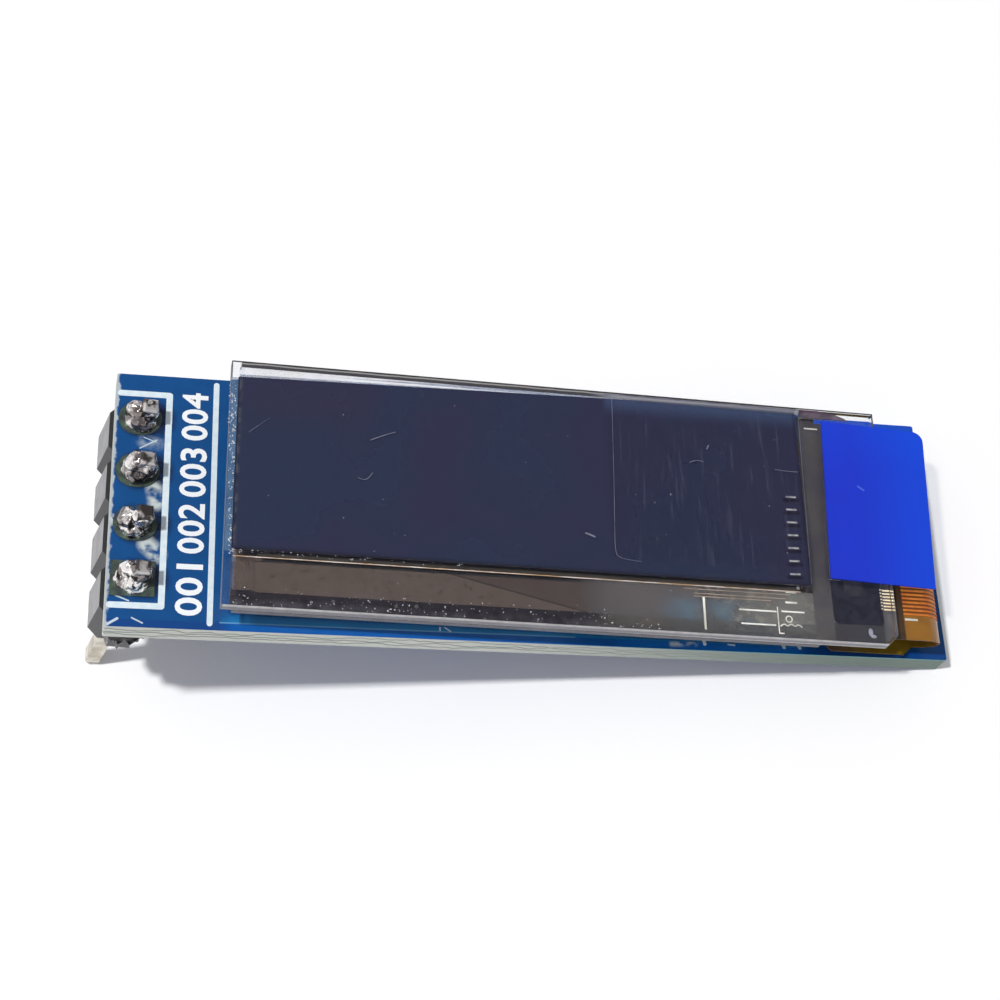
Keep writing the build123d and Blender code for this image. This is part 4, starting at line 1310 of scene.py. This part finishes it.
class MODULE_OT_edges(bpy.types.Operator):
    """Grinds the edges of the two glasses"""
    bl_idname = "module.edges"
    bl_label = "Glass edges"

    def execute(self, context):
        thin = 0.006
        length, width = GLASS_LENGTH, GLASS_WIDTH
        low, high = GLASS_UNDERSIDE, GLASS_FACE
        depth = high - low
        sides = [
            strip(0.0, -thin, low, length - 0.45, thin, depth),
            strip(-thin, width, low, length + 2 * thin, thin, depth),
            strip(-thin, -thin, low, thin, width + thin, depth),
            strip(length, 0.45, low, thin, width - 0.45, depth),
            drawn_corner(length, low, depth, thin),
            strip(0.48, -thin, low - 0.34, 26.0, thin, 0.29),
        ]
        keep(join(sides), "glass_edges", "ground_edge", panel_frame())
        rims = [
            strip(0.0, 11.2, high, 26.3, 0.3, 0.004),
            strip(26.3, 11.41, high, 3.7, 0.09, 0.004),
            strip(29.93, 9.6, high, 0.07, 1.85, 0.004),
            strip(0.0, 10.6, high, 0.05, 0.65, 0.004),
        ]
        keep(join(rims), "rear_rim", "rear_rim", panel_frame())
        return {"FINISHED"}


class MODULE_OT_film_marks(bpy.types.Operator):
    """Draws the scratches of the protective film and painted highlights along the edges of its layers"""
    bl_idname = "module.film_marks"
    bl_label = "Film marks"

    def execute(self, context):
        top = FILM_FACE + 0.003
        paths = (
            ([(0.84, 7.94), (1.3, 8.35), (1.73, 8.7)], 0.022),
            ([(6.15, 8.0), (6.7, 8.28), (7.25, 8.48)], 0.05),
            ([(5.6, 6.15), (5.85, 6.02), (6.1, 6.15), (6.25, 6.42)], 0.05),
            ([(20.75, 8.12), (21.1, 8.32), (21.4, 8.2)], 0.06),
            ([(21.6, 8.85), (21.7, 9.05)], 0.07),
            ([(15.7, 4.27), (15.95, 4.2), (16.15, 4.1)], 0.09),
            ([(24.8, 8.1), (25.3, 8.04), (25.9, 8.06)], 0.03),
        )
        marks = [drawn_line([(x, y, top) for x, y in path], width) for path, width in paths]
        keep(join(marks), "film_scratches", "scratch_and_edge_highlight", panel_frame())
        # Painted highlights along the edge of the tab's clear strip and the film's rear and right edges
        tab_top = ADHESIVE_FACE
        tab_edge = [(17.22, 11.1), (17.15, 8.0), (17.06, 5.0), (17.0, 3.5), (17.14, 3.2), (17.6, 3.1), (18.2, 3.06)]
        lit = [drawn_line([(x, y, tab_top) for x, y in tab_edge], 0.024)]
        lit.append(drawn_line([(16.9, 11.27, top), (21.0, 11.28, top), (26.15, 11.26, top)], 0.06))
        lit.append(drawn_line([(26.2, 11.2, top), (26.12, 7.0, top), (26.04, 2.6, top)], 0.022))
        keep(join(lit), "layer_edges", "scratch_and_edge_highlight", panel_frame())
        haze = strip(0.02, 2.42, GLASS_FACE + 0.002, 0.28, 8.25, 0.004)
        keep(haze, "edge_haze", "haze_dust", panel_frame())
        return {"FINISHED"}


class MODULE_OT_dust(bpy.types.Operator):
    """Scatters dust grains along the film's edges and over the display"""
    bl_idname = "module.dust"
    bl_label = "Dust"

    def execute(self, context):
        chance = random.Random(11)
        count = context.scene.module_sizes.dust_count
        clear_selection()
        bpy.ops.mesh.primitive_ico_sphere_add(subdivisions=1, radius=1.0)
        grain = bpy.context.object
        finish_modifier(grain, "DISPLACE", texture=lump_texture("grain", "CLOUDS", 0.7), strength=0.8)
        grains = [grain]
        for index in range(count):
            choose(grain)
            bpy.ops.object.duplicate()
            grains.append(bpy.context.object)
        for index, piece in enumerate(grains):
            share = index / len(grains)
            if share < 0.4:
                run = chance.random()
                x = 0.35 - 0.28 * run + chance.uniform(-0.17, 0.17)
                y = 2.3 + 8.2 * run
                z = GLASS_FACE + 0.01
                size = chance.uniform(0.008, 0.036)
            elif share < 0.54:
                x = 0.35 + 10 * chance.random() ** 2
                y = 2.42 + chance.uniform(-0.08, 0.1)
                z = GLASS_FACE + 0.01
                size = chance.uniform(0.008, 0.032)
            elif share < 0.93:
                x = chance.uniform(0.3, 19.0)
                y = 0.06 + 0.75 * chance.random() ** 1.4
                z = GLASS_FACE
                size = chance.uniform(0.006, 0.028)
            else:
                x = chance.uniform(1.0, 25.5)
                y = chance.uniform(0.8, 10.5)
                z = FILM_FACE
                size = chance.uniform(0.008, 0.02)
            piece.location = (x, y, z)
            piece.scale = (size * chance.uniform(0.8, 2.4), size, size * 0.35)
            piece.rotation_euler = (0, 0, chance.uniform(0, math.pi))
        for piece in grains:
            apply_place(piece)
        keep(join(grains), "dust_grains", "dust", panel_frame())
        return {"FINISHED"}


class MODULE_OT_stage(bpy.types.Operator):
    """Adds the tilted white table, the soft light, the surround and the camera"""
    bl_idname = "module.stage"
    bl_label = "Stage"

    def execute(self, context):
        stage = context.scene.module_stage
        add_floor(stage)
        add_key_light(stage)
        add_surround(context.scene, stage)
        add_camera(context.scene, stage)
        context.scene.view_settings.view_transform = "Standard"
        context.scene.cycles.transparent_max_bounces = 32
        return {"FINISHED"}


def seen_share(tree):
    """1 for what the camera sees, straight, through glass or in a reflection."""
    path = put(tree, "ShaderNodeLightPath").outputs
    return either(tree, [path["Is Camera Ray"], path["Is Transmission Ray"], path["Is Glossy Ray"]])


def add_floor(stage):
    """The table touches the pins' tips and the board's lower right edge."""
    tip = Vector((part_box("header_pin_1")[0].x, 0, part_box("header_pin_1")[0].z))
    edge = Vector((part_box("pcb_board")[1].x, 0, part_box("pcb_board")[0].z))
    slope = math.atan2(edge.z - tip.z, edge.x - tip.x)
    clear_selection()
    middle = tip.lerp(edge, 0.5)
    bpy.ops.mesh.primitive_plane_add(size=stage.floor_size, location=middle, rotation=(0, -slope, 0))
    floor = bpy.context.object
    floor.name = "white_table"
    apply_place(floor)
    material, tree, shader = start_material("white_table", 0.8, Specular_IOR_Level=0.0)
    grain = put(tree, "ShaderNodeTexNoise", {"Vector": millimetres(tree), "Scale": 0.05}).outputs[0]
    link(tree, blend(tree, grain, colour(250, 250, 250), colour(255, 255, 255)), shader, "Base Color")
    seen = seen_share(tree)
    away = put(tree, "ShaderNodeVectorMath", {0: millimetres(tree)}, operation="LENGTH").outputs["Value"]
    brighter = fade(tree, away, 60.0, 260.0, 0.03, 0.6)
    glow = put(tree, "ShaderNodeEmission", {"Strength": calc(tree, "MULTIPLY", seen, brighter)})
    lit = put(tree, "ShaderNodeAddShader", {0: shader.outputs[0], 1: glow.outputs[0]})
    clear = put(tree, "ShaderNodeBsdfTransparent").outputs[0]
    back = put(tree, "ShaderNodeNewGeometry").outputs["Backfacing"]
    mix = put(tree, "ShaderNodeMixShader", {0: calc(tree, "MULTIPLY", back, seen), 1: lit.outputs[0], 2: clear})
    tree.links.new(mix.outputs[0], tree.nodes["Material Output"].inputs["Surface"])
    floor.data.materials.append(material)


def add_key_light(stage):
    middle = (cad_box[0] + cad_box[1]) / 2
    place = Vector(stage.key_place)
    light = bpy.data.lights.new("key_light", "AREA")
    light.shape = "SQUARE"
    light.size = stage.key_size
    light.energy = stage.key_power
    lamp = bpy.data.objects.new("key_light", light)
    lamp.location = place
    lamp.rotation_euler = (middle - place).to_track_quat("-Z", "Y").to_euler()
    bpy.context.scene.collection.objects.link(lamp)


def add_surround(scene, stage):
    """White to the camera and low in reflections, greyer overhead, and softer as a light."""
    world = bpy.data.worlds.new("white_surround")
    scene.world = world
    world.use_nodes = True
    tree = world.node_tree
    path = put(tree, "ShaderNodeLightPath").outputs
    up = put(tree, "ShaderNodeSeparateXYZ", {0: put(tree, "ShaderNodeTexCoord").outputs["Generated"]}).outputs["Z"]
    overhead = fade(tree, up, 0.25, 0.7, 1.0, 0.35)
    straight = either(tree, [path["Is Camera Ray"], path["Is Transmission Ray"]])
    mirrored = fade(tree, path["Is Glossy Ray"], 0.0, 1.0, stage.sky_strength, overhead)
    tree.links.new(fade(tree, straight, 0.0, 1.0, mirrored, 1.0), tree.nodes["Background"].inputs["Strength"])
    tint = blend(tree, straight, (0.95, 0.94, 1.0), (1.0, 1.0, 1.0))
    tree.links.new(tint, tree.nodes["Background"].inputs["Color"])


def add_camera(scene, stage):
    data = bpy.data.cameras.new("photo_camera")
    data.lens = stage.camera_lens
    data.sensor_width = 36.0
    data.shift_x, data.shift_y = stage.camera_shift
    data.clip_start = 0.001
    data.clip_end = 10.0
    camera = bpy.data.objects.new("photo_camera", data)
    camera.location = stage.camera_place
    camera.rotation_euler = stage.camera_turn
    scene.collection.objects.link(camera)
    scene.camera = camera


class MODULE_PT_panel(bpy.types.Panel):
    """Lists the module's colours, sizes and steps"""
    bl_idname = "MODULE_PT_panel"
    bl_label = "OLED module"
    bl_space_type = "VIEW_3D"
    bl_region_type = "UI"
    bl_category = "OLED module"

    def draw(self, context):
        for settings in (context.scene.module_colours, context.scene.module_sizes, context.scene.module_stage):
            for name in settings.bl_rna.properties.keys():
                if name not in ("rna_type", "name"):
                    self.layout.prop(settings, name)
        for step in STEPS:
            self.layout.operator(step.bl_idname)


STEPS = (
    MODULE_OT_finishes,
    MODULE_OT_numbers,
    MODULE_OT_solder,
    MODULE_OT_burr,
    MODULE_OT_traces,
    MODULE_OT_glass_lines,
    MODULE_OT_smear,
    MODULE_OT_edges,
    MODULE_OT_film_marks,
    MODULE_OT_dust,
    MODULE_OT_stage,
)
CLASSES = (ModuleColours, ModuleSizes, StageSettings, *STEPS, MODULE_PT_panel)


def register():
    for one in CLASSES:
        bpy.utils.register_class(one)
    bpy.types.Scene.module_colours = PointerProperty(type=ModuleColours)
    bpy.types.Scene.module_sizes = PointerProperty(type=ModuleSizes)
    bpy.types.Scene.module_stage = PointerProperty(type=StageSettings)


def unregister():
    del bpy.types.Scene.module_stage
    del bpy.types.Scene.module_sizes
    del bpy.types.Scene.module_colours
    for one in reversed(CLASSES):
        bpy.utils.unregister_class(one)


def main():
    register()
    bpy.ops.module.finishes()
    bpy.ops.module.numbers()
    bpy.ops.module.solder()
    bpy.ops.module.burr()
    bpy.ops.module.traces()
    bpy.ops.module.glass_lines()
    bpy.ops.module.smear()
    bpy.ops.module.edges()
    bpy.ops.module.film_marks()
    bpy.ops.module.dust()
    bpy.ops.module.stage()


if __name__ == "__main__":
    main()
